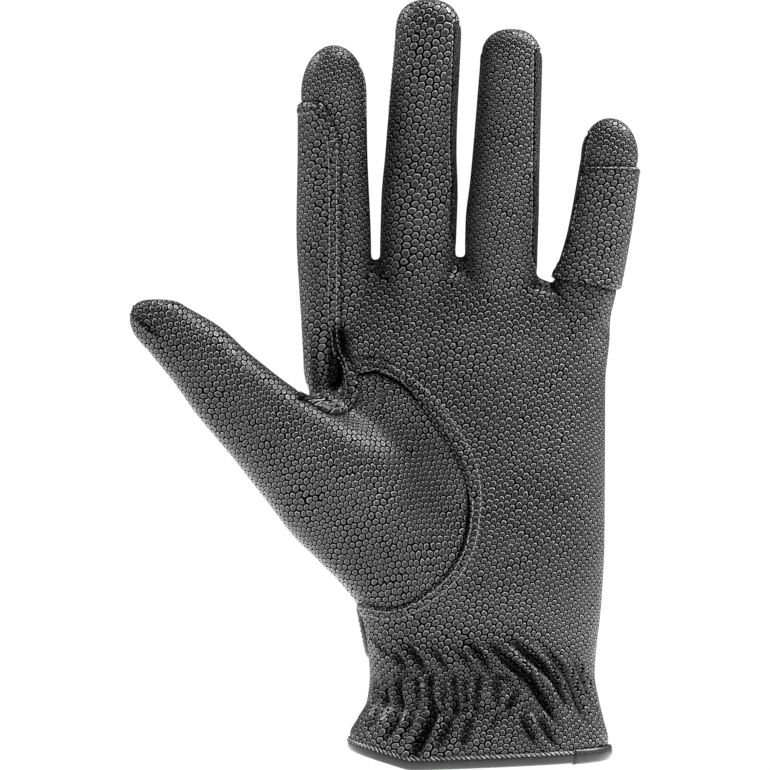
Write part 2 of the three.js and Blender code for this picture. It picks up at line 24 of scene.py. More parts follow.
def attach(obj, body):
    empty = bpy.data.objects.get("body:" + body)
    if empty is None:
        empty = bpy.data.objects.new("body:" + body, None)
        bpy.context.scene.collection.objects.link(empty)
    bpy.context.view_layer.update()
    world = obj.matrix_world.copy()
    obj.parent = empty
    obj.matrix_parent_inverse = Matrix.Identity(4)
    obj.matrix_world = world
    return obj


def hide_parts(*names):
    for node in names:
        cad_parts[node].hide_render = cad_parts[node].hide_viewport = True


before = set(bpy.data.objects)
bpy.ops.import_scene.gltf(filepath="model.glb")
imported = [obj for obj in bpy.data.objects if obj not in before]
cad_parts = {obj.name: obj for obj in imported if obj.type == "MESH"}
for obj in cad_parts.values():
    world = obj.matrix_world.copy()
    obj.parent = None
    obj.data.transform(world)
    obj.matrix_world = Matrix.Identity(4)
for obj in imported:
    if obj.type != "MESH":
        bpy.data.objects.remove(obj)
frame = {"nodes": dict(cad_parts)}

Array = NDArray[np.float64]
Ints = NDArray[np.int64]
Point2 = tuple[float, float]
Point3 = tuple[float, float, float]

LOG = logging.getLogger("glove")
METRES = 0.001
GRAIN_MAP = "grain"
# The point attribute with the painted shade along seams, beside trims and in the folds' valleys.
PAINTED_SHADE = "painted_shade"


# Sizes shared by the whole glove

@dataclass(frozen=True)
class GloveSizes:
    """The glove's overall sizes, as the solid model has them."""

    length: float = 240.0
    width: float = 100.0
    depth: float = 32.0
    wall: float = 1.5
    knuckles: float = 0.6
    finger_root: float = 0.55
    finger_curl: float = 9.0
    curl_power: float = 1.6
    squareness: float = 2.3
    hem_rise: float = 5.0
    hem_corner: float = -0.55
    hem_right_rise: float = 0.5
    hem_height: float = 1.44
    patch: float = 1.2
    photo_scale: float = 0.3137
    photo_middle: float = 480.0
    photo_bottom: float = 767.0

    def curl(self, height: Array) -> Array:
        """How far the fingers bend towards the palm's side at each height."""
        start = self.knuckles * self.length
        share = np.maximum(0.0, height - start) / (self.length - start)
        return -self.finger_curl * share ** self.curl_power

    def hem_lift(self, sideways: Array, on_palm: NDArray[np.bool_]) -> Array:
        """How far the hem stands above its lowest point, as a share of the hem's rise.

        Args:
            sideways: the place across the cuff, from -1 at the thumb's side to 1.
            on_palm: whether each point is on the palm's side.

        Returns:
            One share for each point.
        """
        corner = self.hem_corner
        left = (corner - sideways) / (1 + corner)
        right = self.hem_right_rise * (sideways - corner) / (1 - corner)
        palm = np.where(sideways < corner, left, right)
        back = 1 + (self.hem_right_rise - 1) * (sideways + 1) / 2
        return np.where(on_palm, palm, back)

    def at_photo(self, spots: Sequence[Point2]) -> Array:
        """X and Z of spots given as they lie in a front view of 770 by 770."""
        pixels = np.asarray(spots, dtype=float)
        across = (pixels[:, 0] - self.photo_middle) * self.photo_scale
        return np.column_stack([across, (self.photo_bottom - pixels[:, 1]) * self.photo_scale])


GLOVE = GloveSizes()


# Small tools for tables and outlines

class Profile:
    """Columns of numbers along a line, joined by a curve that never overshoots them."""

    SAMPLES = 800

    def __init__(self, names: Sequence[str], rows: Sequence[Sequence[float]]) -> None:
        """Keeps the columns finely sampled.

        Args:
            names: the columns' names, the first being the place along the line.
            rows: one row of numbers for each place.
        """
        table = np.asarray(rows, dtype=float)
        self.grid = np.linspace(table[0, 0], table[-1, 0], self.SAMPLES)
        self.columns = {}
        for i, name in enumerate(names):
            self.columns[name] = self.curve(table[:, 0], table[:, i], self.grid)

    @staticmethod
    def curve(places: Array, values: Array, where: Array) -> Array:
        """Reads a monotone cubic curve through the values.

        Args:
            places: the rising places of the values.
            values: the values there.
            where: the places to read at.

        Returns:
            The curve's value at each place, held level past both ends.
        """
        step = np.diff(places)
        slope = np.diff(values) / step
        turn = np.zeros_like(values)
        first, second = 2 * step[1:] + step[:-1], step[1:] + 2 * step[:-1]
        same = slope[:-1] * slope[1:] > 0
        low = np.where(same, slope[:-1], 1.0)
        high = np.where(same, slope[1:], 1.0)
        turn[1:-1] = np.where(same, (first + second) / (first / low + second / high), 0.0)
        turn[0], turn[-1] = slope[0], slope[-1]
        i = np.clip(np.searchsorted(places, where, side="right") - 1, 0, len(step) - 1)
        t = np.clip((where - places[i]) / step[i], 0.0, 1.0)
        start = (1 + 2 * t) * (1 - t) ** 2 * values[i] + t * (1 - t) ** 2 * step[i] * turn[i]
        end = t * t * (3 - 2 * t) * values[i + 1] - t * t * (1 - t) * step[i] * turn[i + 1]
        return start + end

    def read(self, name: str, where: Array) -> Array:
        """The named column at each place."""
        return np.interp(where, self.grid, self.columns[name])


def smooth_path(points: Array, steps: int, closed: bool = False) -> Array:
    """Runs a Catmull-Rom curve through points.

    Args:
        points: the points to pass through.
        steps: how many points stand for each one given.
        closed: whether the last joins on to the first.

    Returns:
        The curve's points.
    """
    count = len(points)
    spans = count if closed else count - 1
    made = []
    for i in range(spans):
        before = points[(i - 1) % count] if closed else points[max(i - 1, 0)]
        after = points[(i + 2) % count] if closed else points[min(i + 2, count - 1)]
        here, there = points[i], points[(i + 1) % count]
        for t in np.linspace(0, 1, steps, endpoint=False):
            line = 2 * here + (there - before) * t
            bow = (2 * before - 5 * here + 4 * there - after) * t * t
            twist = (3 * here - before - 3 * there + after) * t ** 3
            made.append(0.5 * (line + bow + twist))
    if not closed:
        made.append(points[-1])
    return np.asarray(made)


def outline_distance(spots: Array, outline: Array, closed: bool = True) -> Array:
    """Measures flat points against an outline.

    Args:
        spots: the points, as pairs.
        outline: the outline's corners in order.
        closed: whether it closes, so that the distance is below zero inside it.

    Returns:
        The distance of each point.
    """
    corners = np.vstack([outline, outline[:1]]) if closed else outline
    best = np.full(len(spots), np.inf)
    inside = np.zeros(len(spots), dtype=bool)
    x, z = spots[:, 0], spots[:, 1]
    for (ax, az), (bx, bz) in zip(corners[:-1], corners[1:]):
        dx, dz = bx - ax, bz - az
        share = np.clip(((x - ax) * dx + (z - az) * dz) / max(dx * dx + dz * dz, 1e-12), 0.0, 1.0)
        best = np.minimum(best, (x - ax - share * dx) ** 2 + (z - az - share * dz) ** 2)
        if closed and az != bz:
            crosses = (az > z) != (bz > z)
            inside ^= crosses & (x < ax + (z - az) * dx / dz)
    distance = np.sqrt(best)
    return np.where(inside, -distance, distance)


def ramp(value: Array, low: float, high: float) -> Array:
    """A soft step from 0 at low to 1 at high."""
    share = np.clip((value - low) / (high - low), 0.0, 1.0)
    return share * share * (3 - 2 * share)


def bump(value: Array, width: float) -> Array:
    """A soft bump of height 1 and the given half width."""
    return np.exp(-((value / width) ** 2))


def blend_union(first: Array, second: Array, width: float) -> Array:
    """Joins two distances with a rounded inner corner of the given width."""
    share = np.maximum(width - np.abs(first - second), 0.0) / width
    return np.minimum(first, second) - share * share * width / 4


# The glove's form

class Body:
    """A lofted body: its sections are squared ovals, and its ends are rounded."""

    @staticmethod
    def oval(across: Array, out: Array, half: Array, deep: Array) -> tuple[Array, Array]:
        """Places points against an oval section.

        Args:
            across: the way from the section's middle along its width.
            out: the way along its depth.
            half: half the width.
            deep: half the depth.

        Returns:
            The share of the section's size at each point, and how fast it grows for each millimetre.
        """
        power = GLOVE.squareness
        u, v = np.abs(across / half) + 1e-6, np.abs(out / deep) + 1e-6
        size = (u ** power + v ** power) ** (1 / power)
        rate = size ** (1 - power) * np.hypot(u ** (power - 1) / half, v ** (power - 1) / deep)
        return size, rate

    @staticmethod
    def rounded(size: Array, rate: Array, past: Array, rise: Array | float, power: float) -> Array:
        """Rounds a body off past its end.

        Args:
            size: the share of the section's size.
            rate: how fast that grows for each millimetre.
            past: how far each point is past the end.
            rise: how far the end stands out.
            power: how blunt the end is.

        Returns:
            The distance from the body's surface.
        """
        t = np.maximum(past, 0.0) / rise + 1e-6
        whole = (size ** power + t ** power) ** (1 / power)
        side = whole ** (1 - power) * size ** (power - 1) * rate
        along = np.where(past > 0, whole ** (1 - power) * t ** (power - 1) / rise, 0.0)
        size_out = np.where(past > 0, whole, size)
        rate_out = np.where(past > 0, np.hypot(side, along), rate)
        return (size_out - 1) / np.maximum(rate_out, 0.01)


@dataclass
class Hand(Body):
    """The hand, wrist and cuff. up and slope are shares of the length, left and right of the width,
    palm, back and hollow of the depth, and sweep of the hem's rise."""

    columns: tuple[str, ...] = ("up", "left", "right", "palm", "back", "hollow", "sweep", "slope")
    rows: tuple[tuple[float, ...], ...] = (
        (-0.060, -0.404, 0.400, 0.64, 0.60, 0.00, 1.0, 0.00),
        (0.006, -0.404, 0.400, 0.64, 0.60, 0.00, 1.0, 0.00),
        (0.029, -0.408, 0.402, 0.67, 0.62, 0.00, 0.7, 0.00),
        (0.060, -0.384, 0.388, 0.64, 0.60, 0.00, 0.2, 0.00),
        (0.088, -0.354, 0.373, 0.57, 0.56, 0.00, 0.0, 0.00),
        (0.120, -0.346, 0.360, 0.55, 0.54, 0.00, 0.0, 0.00),
        (0.218, -0.382, 0.381, 0.54, 0.48, 0.00, 0.0, 0.00),
        (0.290, -0.412, 0.390, 0.54, 0.46, 0.02, 0.0, 0.00),
        (0.400, -0.475, 0.392, 0.50, 0.45, 0.08, 0.0, 0.00),
        (0.500, -0.535, 0.393, 0.44, 0.44, 0.06, 0.0, 0.00),
        (0.570, -0.545, 0.407, 0.39, 0.41, 0.02, 0.0, 0.00),
        (0.632, -0.525, 0.395, 0.27, 0.29, 0.00, 0.0, 0.07),
        (0.650, -0.480, 0.300, 0.14, 0.15, 0.00, 0.0, 0.12),
    )
    hollow_power: float = 6.0
    top_round: float = 4.0
    profile: Profile = field(init=False)

    def __post_init__(self) -> None:
        """Turns the table of shares into a profile in millimetres."""
        width, depth = GLOVE.width, GLOVE.depth
        scales = (GLOVE.length, width, width, depth, depth, depth, GLOVE.hem_rise, GLOVE.length)
        self.profile = Profile(self.columns, np.asarray(self.rows) * np.asarray(scales))

    def place(self, points: Array) -> tuple[Array, Array, Array, Array]:
        """Where points stand against the sections, which tilt with the hem and the finger roots.

        Args:
            points: the points to place.

        Returns:
            The height of each point's section, the section's middle and half width, and the point's share
            across it.
        """
        x, y, z = points.T
        height = z.copy()
        for _ in range(4):
            left, right = self.profile.read("left", height), self.profile.read("right", height)
            middle, half = (left + right) / 2, (right - left) / 2
            sideways = np.clip((x - middle) / half, -1.0, 1.0)
            rise = self.profile.read("sweep", height) * GLOVE.hem_lift(sideways, y < 0)
            drop = self.profile.read("slope", height) * np.maximum(0.0, x / GLOVE.width)
            height = z - rise + drop
        return height, middle, half, sideways

    def hem(self, points: Array) -> Array:
        """How far each point is above the hem's line."""
        sideways = self.place(points)[3]
        return points[:, 2] - GLOVE.hem_height - GLOVE.hem_rise * GLOVE.hem_lift(sideways, points[:, 1] < 0)

    def distance(self, points: Array) -> Array:
        """The distance of each point from the hand's surface.

        Args:
            points: the points.

        Returns:
            Distances, below zero inside.
        """
        x, y, _ = points.T
        height, middle, half, sideways = self.place(points)
        to_palm = np.sqrt(np.maximum(0.0, 1 - np.abs(sideways) ** GLOVE.squareness))
        out = y - GLOVE.curl(height)
        on_palm = out < 0
        hollow = self.profile.read("hollow", height) * to_palm ** self.hollow_power
        out = out - np.where(on_palm, hollow, 0.0)
        deep = np.where(on_palm, self.profile.read("palm", height), self.profile.read("back", height))
        size, rate = self.oval(x - middle, out, half, deep)
        return self.rounded(size, rate, height - self.profile.grid[-1], self.top_round, 2.0)


@dataclass
class Digit(Body):
    """A finger. along is a share of its length, across of the hand's width and half of its own width."""

    length: float
    width: float
    bluntness: float
    rows: tuple[tuple[float, float, float], ...]
    flatness: float = 0.93
    root_taper: float = 0.45
    root_round: float = 5.0
    profile: Profile = field(init=False)
    rise: float = field(init=False)

    def __post_init__(self) -> None:
        """Turns the table of shares into a profile in millimetres, with a tapered root in the palm."""
        root = GLOVE.finger_root * GLOVE.length
        table = [(root + a * self.length, c * GLOVE.width, h * self.width) for a, c, h in self.rows]
        first = table[0]
        table.insert(0, (first[0] - self.width, first[1], first[2] * self.root_taper))
        self.profile = Profile(("height", "across", "half"), table)
        self.rise = root + self.length - table[-1][0]

    def middle(self, height: Array) -> Array:
        """The finger's middle across the hand at each height."""
        return self.profile.read("across", height)

    def half(self, height: Array) -> Array:
        """Half the finger's width at each height."""
        return self.profile.read("half", height)

    def distance(self, points: Array) -> Array:
        """The distance of each point from the finger's surface.

        Args:
            points: the points.

        Returns:
            Distances, below zero inside.
        """
        x, y, z = points.T
        half = self.half(z)
        size, rate = self.oval(x - self.middle(z), y - GLOVE.curl(z), half, half * self.flatness)
        above = z - self.profile.grid[-1]
        below = self.profile.grid[0] - z
        tip = self.rounded(size, rate, above, self.rise, self.bluntness)
        root = self.rounded(size, rate, below, self.root_round, 2.0)
        return np.where(below > 0, root, tip)


@dataclass
class Thumb(Body):
    """The thumb, along its own slanted line. along is a share of its length, drift (towards the fingers)
    and half of its width, front (towards the palm's side) and deep of the hand's depth."""

    length: float = 118.8
    width: float = 40.0
    angle: float = 137.5
    root_across: float = -0.22
    root_up: float = 0.258
    bluntness: float = 2.3
    root_round: float = 8.0
    rows: tuple[tuple[float, ...], ...] = (
        (-0.06, 0.000, 0.02, 0.240, 0.24),
        (0.110, 0.042, 0.15, 0.470, 0.44),
        (0.249, 0.098, 0.28, 0.518, 0.48),
        (0.411, 0.094, 0.41, 0.439, 0.44),
        (0.551, 0.084, 0.51, 0.358, 0.38),
        (0.684, 0.095, 0.59, 0.314, 0.34),
        (0.804, 0.130, 0.65, 0.273, 0.30),
        (0.899, 0.120, 0.69, 0.222, 0.25),
    )
    profile: Profile = field(init=False)
    forward: Array = field(init=False)
    sideways: Array = field(init=False)
    root: Array = field(init=False)

    def __post_init__(self) -> None:
        """Turns the table of shares into a profile in millimetres, and finds the thumb's own directions."""
        scales = (self.length, self.width, GLOVE.depth, self.width, GLOVE.depth)
        names = ("along", "drift", "front", "half", "deep")
        self.profile = Profile(names, np.asarray(self.rows) * np.asarray(scales))
        turn = math.radians(self.angle)
        self.forward = np.array([math.cos(turn), 0.0, math.sin(turn)])
        self.sideways = np.array([math.sin(turn), 0.0, -math.cos(turn)])
        self.root = np.array([self.root_across * GLOVE.width, 0.0, self.root_up * GLOVE.length])

    def distance(self, points: Array) -> Array:
        """The distance of each point from the thumb's surface.

        Args:
            points: the points.

        Returns:
            Distances, below zero inside.
        """
        away = points - self.root
        along, across = away @ self.forward, away @ self.sideways
        half, deep = self.profile.read("half", along), self.profile.read("deep", along)
        out = points[:, 1] + self.profile.read("front", along)
        size, rate = self.oval(across - self.profile.read("drift", along), out, half, deep)
        end = self.profile.grid[-1]
        tip = self.rounded(size, rate, along - end, self.length - end, self.bluntness)
        below = self.profile.grid[0] - along
        root = self.rounded(size, rate, below, self.root_round, 2.0)
        return np.where(below > 0, root, tip)


@dataclass
class Form:
    """The whole outer form: hand, fingers and thumb, blended into each other."""

    hand: Hand = field(default_factory=Hand)
    thumb: Thumb = field(default_factory=Thumb)
    fingers: dict[str, Digit] = field(default_factory=lambda: {
        "index": Digit(93.9, 21.4, 2.0, (
            (0, -0.440, 0.47), (0.155, -0.445, 0.51), (0.355, -0.453, 0.52), (0.656, -0.457, 0.485),
            (0.84, -0.458, 0.478))),
        "middle": Digit(108.0, 23.9, 2.5, (
            (0, -0.198, 0.46), (0.134, -0.198, 0.49), (0.425, -0.190, 0.501), (0.57, -0.185, 0.466),
            (0.895, -0.163, 0.431))),
        "ring": Digit(98.9, 22.9, 2.4, (
            (0, 0.058, 0.455), (0.147, 0.063, 0.49), (0.4, 0.069, 0.5), (0.527, 0.077, 0.473),
            (0.889, 0.096, 0.425))),
        "little": Digit(71.3, 20.0, 2.05, (
            (0, 0.289, 0.475), (0.16, 0.314, 0.50), (0.27, 0.330, 0.515), (0.512, 0.370, 0.475),
            (0.828, 0.405, 0.448))),
    })
    finger_blend: float = 0.6
    web_blend: float = 1.2
    thumb_blend: float = 9.0
    thumb_top: float = 146.3
    tip_blend: float = 2.5
    probe: float = 0.05

    def without_thumb(self, points: Array) -> Array:
        """The distance of each point from the hand and fingers alone.

        Args:
            points: the points.

        Returns:
            Distances, below zero inside.
        """
        bodies = [finger.distance(points) for finger in self.fingers.values()]
        joined = bodies[0]
        for other in bodies[1:]:
            joined = blend_union(joined, other, self.finger_blend)
        return blend_union(joined, self.hand.distance(points), self.web_blend)

    def distance(self, points: Array) -> Array:
        """The distance of each point from the whole form's surface."""
        above = points[:, 2] - self.thumb_top
        thumb = -blend_union(-self.thumb.distance(points), -above, self.tip_blend)
        return blend_union(self.without_thumb(points), thumb, self.thumb_blend)

    def facing(self, points: Array, level: Callable[[Array], Array]) -> Array:
        """The directions in which a level grows, one unit vector for each point."""
        lean = self.slope(points, level, level(points))
        return lean / np.maximum(np.linalg.norm(lean, axis=1), 1e-6)[:, None]

    def slope(self, points: Array, level: Callable[[Array], Array], here: Array) -> Array:
        """How a level changes at points, along each direction.

        Args:
            points: the points.
            level: the function to measure.
            here: its values at the points.

        Returns:
            One vector for each point.
        """
        moves = [points + self.probe * axis for axis in np.eye(3)]
        return np.column_stack([(level(move) - here) / self.probe for move in moves])

    def settle(self, points: Array, rounds: int = 2, reach: float = 1.5) -> tuple[Array, Array]:
        """Moves points on to the surface.

        Args:
            points: the points.
            rounds: how many steps are taken.
            reach: the longest step.

        Returns:
            The points on the surface and the directions out of it.
        """
        for _ in range(rounds):
            here = self.distance(points)
            lean = self.slope(points, self.distance, here)
            steep = np.maximum(np.linalg.norm(lean, axis=1), 0.05)
            step = np.clip(here / steep, -reach, reach)
            normals = lean / steep[:, None]
            points = points - normals * step[:, None]
        return points, normals / np.linalg.norm(normals, axis=1)[:, None]


# The skin: the form's surface as an even net of four-sided faces

class Panel(IntEnum):
    """The panels that the skin is cut into."""

    BELOW = 0
    THUMB = 1
    INDEX_MIDDLE = 2
    MIDDLE_RING = 3
    RING_LITTLE = 4
    PALM = 5
    BACK = 6


@dataclass
class Skin:
    """An even net over the form, cut into panels."""

    form: Form
    pitch: float = 0.78
    block: int = 4
    near: float = 6.0
    lowest: tuple[float, float, float] = (-114.0, -36.0, -6.0)
    highest: tuple[float, float, float] = (56.0, 26.0, 246.0)
    points: Array = field(init=False)
    faces: Ints = field(init=False)
    normals: Array = field(init=False)
    labels: Ints = field(init=False)
    reach: Ints = field(init=False)

    def sample(self) -> tuple[Array, Array]:
        """Measures the form on a grid, finely only near its surface.

        Returns:
            The grid's distances, and the place of its first corner.
        """
        low = np.asarray(self.lowest)
        wide = self.pitch * self.block
        counts = np.ceil((np.asarray(self.highest) - low) / wide).astype(int)
        axes = [low[i] + wide * (np.arange(counts[i]) + 0.5) for i in range(3)]
        centres = np.stack(np.meshgrid(*axes, indexing="ij"), axis=-1).reshape(-1, 3)
        coarse = self.form.distance(centres).reshape(counts)
        grid = np.kron(np.sign(coarse), np.ones((self.block,) * 3)).astype(np.float64) * self.near
        blocks = np.argwhere(np.abs(coarse) < self.near)
        steps = np.stack(np.meshgrid(*[np.arange(self.block)] * 3, indexing="ij"), axis=-1).reshape(-1, 3)
        cells = (blocks[:, None, :] * self.block + steps[None]).reshape(-1, 3)
        grid[tuple(cells.T)] = self.form.distance(low + self.pitch * cells)
        return grid, low

    def weave_net(self) -> None:
        """Lays one point in each cell that the surface passes through, and joins them into faces."""
        grid, low = self.sample()
        inside = grid < 0
        corners = np.zeros(tuple(np.array(grid.shape) - 1), dtype=np.uint8)
        for dx in (0, 1):
            for dy in (0, 1):
                for dz in (0, 1):
                    size = corners.shape
                    corners += inside[dx:size[0] + dx, dy:size[1] + dy, dz:size[2] + dz]
        mixed = (corners > 0) & (corners < 8)
        ids = np.full(corners.shape, -1, dtype=np.int64)
        ids[mixed] = np.arange(int(mixed.sum()))
        self.points = low + self.pitch * (np.argwhere(mixed) + 0.5)
        made = []
        for axis in range(3):
            ahead = np.roll(inside, -1, axis=axis)
            crossing = np.argwhere(inside != ahead)
            keep = np.all(crossing > 0, axis=1) & np.all(crossing < np.array(corners.shape), axis=1)
            crossing = crossing[keep]
            one, two = np.eye(3, dtype=int)[(axis + 1) % 3], np.eye(3, dtype=int)[(axis + 2) % 3]
            ring = [crossing - one - two, crossing - two, crossing, crossing - one]
            quads = np.column_stack([ids[tuple(cell.T)] for cell in ring])
            outward = inside[tuple(crossing.T)]
            quads[~outward] = quads[~outward][:, ::-1]
            made.append(quads)
        self.faces = np.vstack(made)

    def relax(self, rounds: int, fixed: NDArray[np.bool_] | None = None) -> None:
        """Evens the net out along the surface.

        Args:
            rounds: how many times it is done.
            fixed: the points that stay where they are.
        """
        one, two = self.edges()
        count = len(self.points)
        degree = np.maximum(np.bincount(one, minlength=count) + np.bincount(two, minlength=count), 1)
        for turn in range(rounds):
            middle = np.empty_like(self.points)
            for i in range(3):
                total = np.bincount(one, weights=self.points[two, i], minlength=count)
                total += np.bincount(two, weights=self.points[one, i], minlength=count)
                middle[:, i] = total / degree
            move = 0.6 * (middle - self.points)
            if fixed is not None:
                move[fixed] = 0.0
            moved, normals = self.form.settle(self.points + move, 1)
            still = self.points if fixed is not None else None
            if still is not None:
                moved[fixed] = still[fixed]
            self.points, self.normals = moved, normals

    def edges(self) -> tuple[Ints, Ints]:
        """Both ends of each edge, once for each pair of points.

        Returns:
            The first and the second ends.
        """
        ends = np.vstack([self.faces[:, [i, (i + 1) % 4]] for i in range(4)])
        ends.sort(axis=1)
        ends = np.unique(ends, axis=0)
        return ends[:, 0], ends[:, 1]


@dataclass
class Seams:
    """Where the skin is cut. across is a share of the hand's width, and up of the glove's length."""

    form: Form
    thumb_palm: tuple[Point2, ...] = (
        (-0.330, 0.517), (-0.255, 0.502), (-0.194, 0.478), (-0.107, 0.430), (-0.047, 0.378),
        (-0.041, 0.324), (-0.072, 0.277), (-0.141, 0.241), (-0.257, 0.212), (-0.365, 0.214))
    thumb_back: tuple[Point2, ...] = (
        (-0.430, 0.517), (-0.400, 0.490), (-0.375, 0.460), (-0.350, 0.420), (-0.330, 0.375),
        (-0.320, 0.330), (-0.320, 0.285), (-0.330, 0.250), (-0.350, 0.222), (-0.390, 0.214))
    outer_palm: tuple[Point2, ...] = ((-2.2, 0.20), (-2.2, 1.1), (-0.80, 0.70), (-0.575, 0.500))
    outer_back: tuple[Point2, ...] = ((-2.2, 0.20), (-2.2, 1.1), (-0.80, 0.70), (-0.575, 0.505))
    thumb_depth: float = 0.35
    strip_back: float = 4.2
    strip_top: float = 0.93
    strip_foot: float = 12.0
    side_back: float = 3.0
    strips: tuple[tuple[Panel, str, str, float], ...] = (
        (Panel.INDEX_MIDDLE, "index", "middle", 0.648),
        (Panel.MIDDLE_RING, "middle", "ring", 0.652),
        (Panel.RING_LITTLE, "ring", "little", 0.620))
    strip_fronts: tuple[tuple[float, float], ...] = ((3.0, 1.5), (6.6, 2.0), (6.6, 4.2))
    path_steps: int = 6

    def shares(self, points: Sequence[Point2]) -> Array:
        """Turns shares across and up into millimetres."""
        return np.asarray(points) * np.array([GLOVE.width, GLOVE.length])

    def thumb_level(self, points: Array) -> Array:
        """Below zero where the skin belongs to the thumb.

        Args:
            points: the points.

        Returns:
            The level.
        """
        flat = points[:, [0, 2]]
        arcs = [smooth_path(self.shares(arc), self.path_steps) for arc in (self.thumb_palm, self.thumb_back)]
        palm = np.vstack([arcs[0], self.shares(self.outer_palm)])
        back = np.vstack([arcs[1], self.shares(self.outer_back)])
        reach = self.thumb_depth * GLOVE.depth
        share = np.clip((points[:, 1] + reach) / (2 * reach), 0.0, 1.0)
        return (1 - share) * outline_distance(flat, palm) + share * outline_distance(flat, back)

    def between(self, left: str, right: str, height: Array) -> Array:
        """The middle of the gap between two fingers."""
        one, two = self.form.fingers[left], self.form.fingers[right]
        return (one.middle(height) + one.half(height) + two.middle(height) - two.half(height)) / 2

    def strip_outline(self, left: str, right: str, bottom: float) -> Array:
        """The flat outline of the strip between two fingers, from below the crotch to near their tips.

        Args:
            left: the finger on its left.
            right: the finger on its right.
            bottom: its lower end, as a share of the length.

        Returns:
            Its corners, in millimetres.
        """
        low = bottom * GLOVE.length
        root = GLOVE.finger_root * GLOVE.length
        one, two = self.form.fingers[left], self.form.fingers[right]
        tops = [np.array([root + self.strip_top * finger.length]) for finger in (one, two)]

        foot = np.array([low])
        return np.array([
            [float(one.middle(foot)[0]), low],
            [float(two.middle(foot)[0]), low],
            [float(two.middle(tops[1])[0]), float(tops[1][0])],
            [float(self.between(left, right, tops[1])[0]), float(tops[1][0])],
            [float(self.between(left, right, tops[0])[0]), float(tops[0][0])],
            [float(one.middle(tops[0])[0]), float(tops[0][0])],
        ])

    def strip_level(self, points: Array, left: str, right: str, bottom: float) -> Array:
        """Below zero where the skin belongs to the strip between two fingers.

        Args:
            points: the points.
            left: the finger on its left.
            right: the finger on its right.
            bottom: its lower end, as a share of the length.

        Returns:
            The level.
        """
        flat = outline_distance(points[:, [0, 2]], self.strip_outline(left, right, bottom))
        out = points[:, 1] - GLOVE.curl(points[:, 2])
        fronts = self.strip_fronts[[strip[1] for strip in self.strips].index(left)]
        share = ramp(points[:, 0] - self.between(left, right, points[:, 2]), -2.0, 2.0)
        front = fronts[0] + (fronts[1] - fronts[0]) * share
        front = front * (2 * ramp(points[:, 2] - bottom * GLOVE.length, 0.0, self.strip_foot) - 1)
        return np.maximum.reduce([flat, out - self.strip_back, -out - front])

    def side_level(self, points: Array) -> Array:
        """Below zero on the palm's side of the side seam."""
        return points[:, 1] - GLOVE.curl(points[:, 2]) - self.side_back

    def levels(self, points: Array) -> dict[Panel, Array]:
        """The level that decides each panel.

        Args:
            points: the points.

        Returns:
            A level for each panel.
        """
        found = {Panel.BELOW: self.form.hand.hem(points), Panel.THUMB: self.thumb_level(points)}
        for panel, left, right, bottom in self.strips:
            found[panel] = self.strip_level(points, left, right, bottom)
        found[Panel.PALM] = self.side_level(points)
        return found

    def label(self, points: Array) -> Ints:
        """The panel that each point lies in.

        Args:
            points: the points.

        Returns:
            A panel for each point.
        """
        levels = self.levels(points)
        labels = np.where(levels[Panel.PALM] < 0, Panel.PALM, Panel.BACK)
        for panel, *_ in self.strips:
            labels = np.where(levels[panel] < 0, panel, labels)
        labels = np.where(levels[Panel.THUMB] < 0, Panel.THUMB, labels)
        return np.where(levels[Panel.BELOW] < 0, Panel.BELOW, labels)

    def cut(self, skin: Skin) -> None:
        """Labels the skin's faces and draws the points between panels on to the seams.

        Args:
            skin: the skin.
        """
        skin.labels = self.label(skin.points[skin.faces].mean(axis=1))
        deciding = np.full((len(skin.points), 2), [len(Panel), -1])
        for i in range(4):
            np.minimum.at(deciding[:, 0], skin.faces[:, i], skin.labels)
            np.maximum.at(deciding[:, 1], skin.faces[:, i], skin.labels)
        border = deciding[:, 0] != deciding[:, 1]
        for _ in range(3):
            for panel in (Panel.BELOW, Panel.THUMB, *(strip[0] for strip in self.strips), Panel.PALM):
                chosen = np.flatnonzero(border & (deciding[:, 0] == panel))
                if not len(chosen):
                    continue
                skin.points[chosen] = self.draw_on(panel, skin.points[chosen], skin.normals[chosen])
        skin.reach = deciding
        skin.points, skin.normals = skin.form.settle(skin.points, 1)
        skin.relax(4, border)

    def draw_on(self, panel: Panel, points: Array, normals: Array) -> Array:
        """Slides points along the surface on to a panel's edge.

        Args:
            panel: the panel.
            points: the points.
            normals: the directions out of the surface there.

        Returns:
            The moved points.
        """
        def level(where: Array) -> Array:
            """The panel's level at some points."""
            return self.levels(where)[panel]

        here = level(points)
        lean = self.form.slope(points, level, here)
        lean -= (lean * normals).sum(axis=1)[:, None] * normals
        steep = np.maximum((lean ** 2).sum(axis=1), 0.04)
        move = -lean * (here / steep)[:, None]
        size = np.linalg.norm(move, axis=1)
        move *= np.minimum(1.0, 0.9 / np.maximum(size, 1e-9))[:, None]
        return self.form.settle(points + move, 1)[0]


# The relief: seams, folds and gathers that move the skin in and out

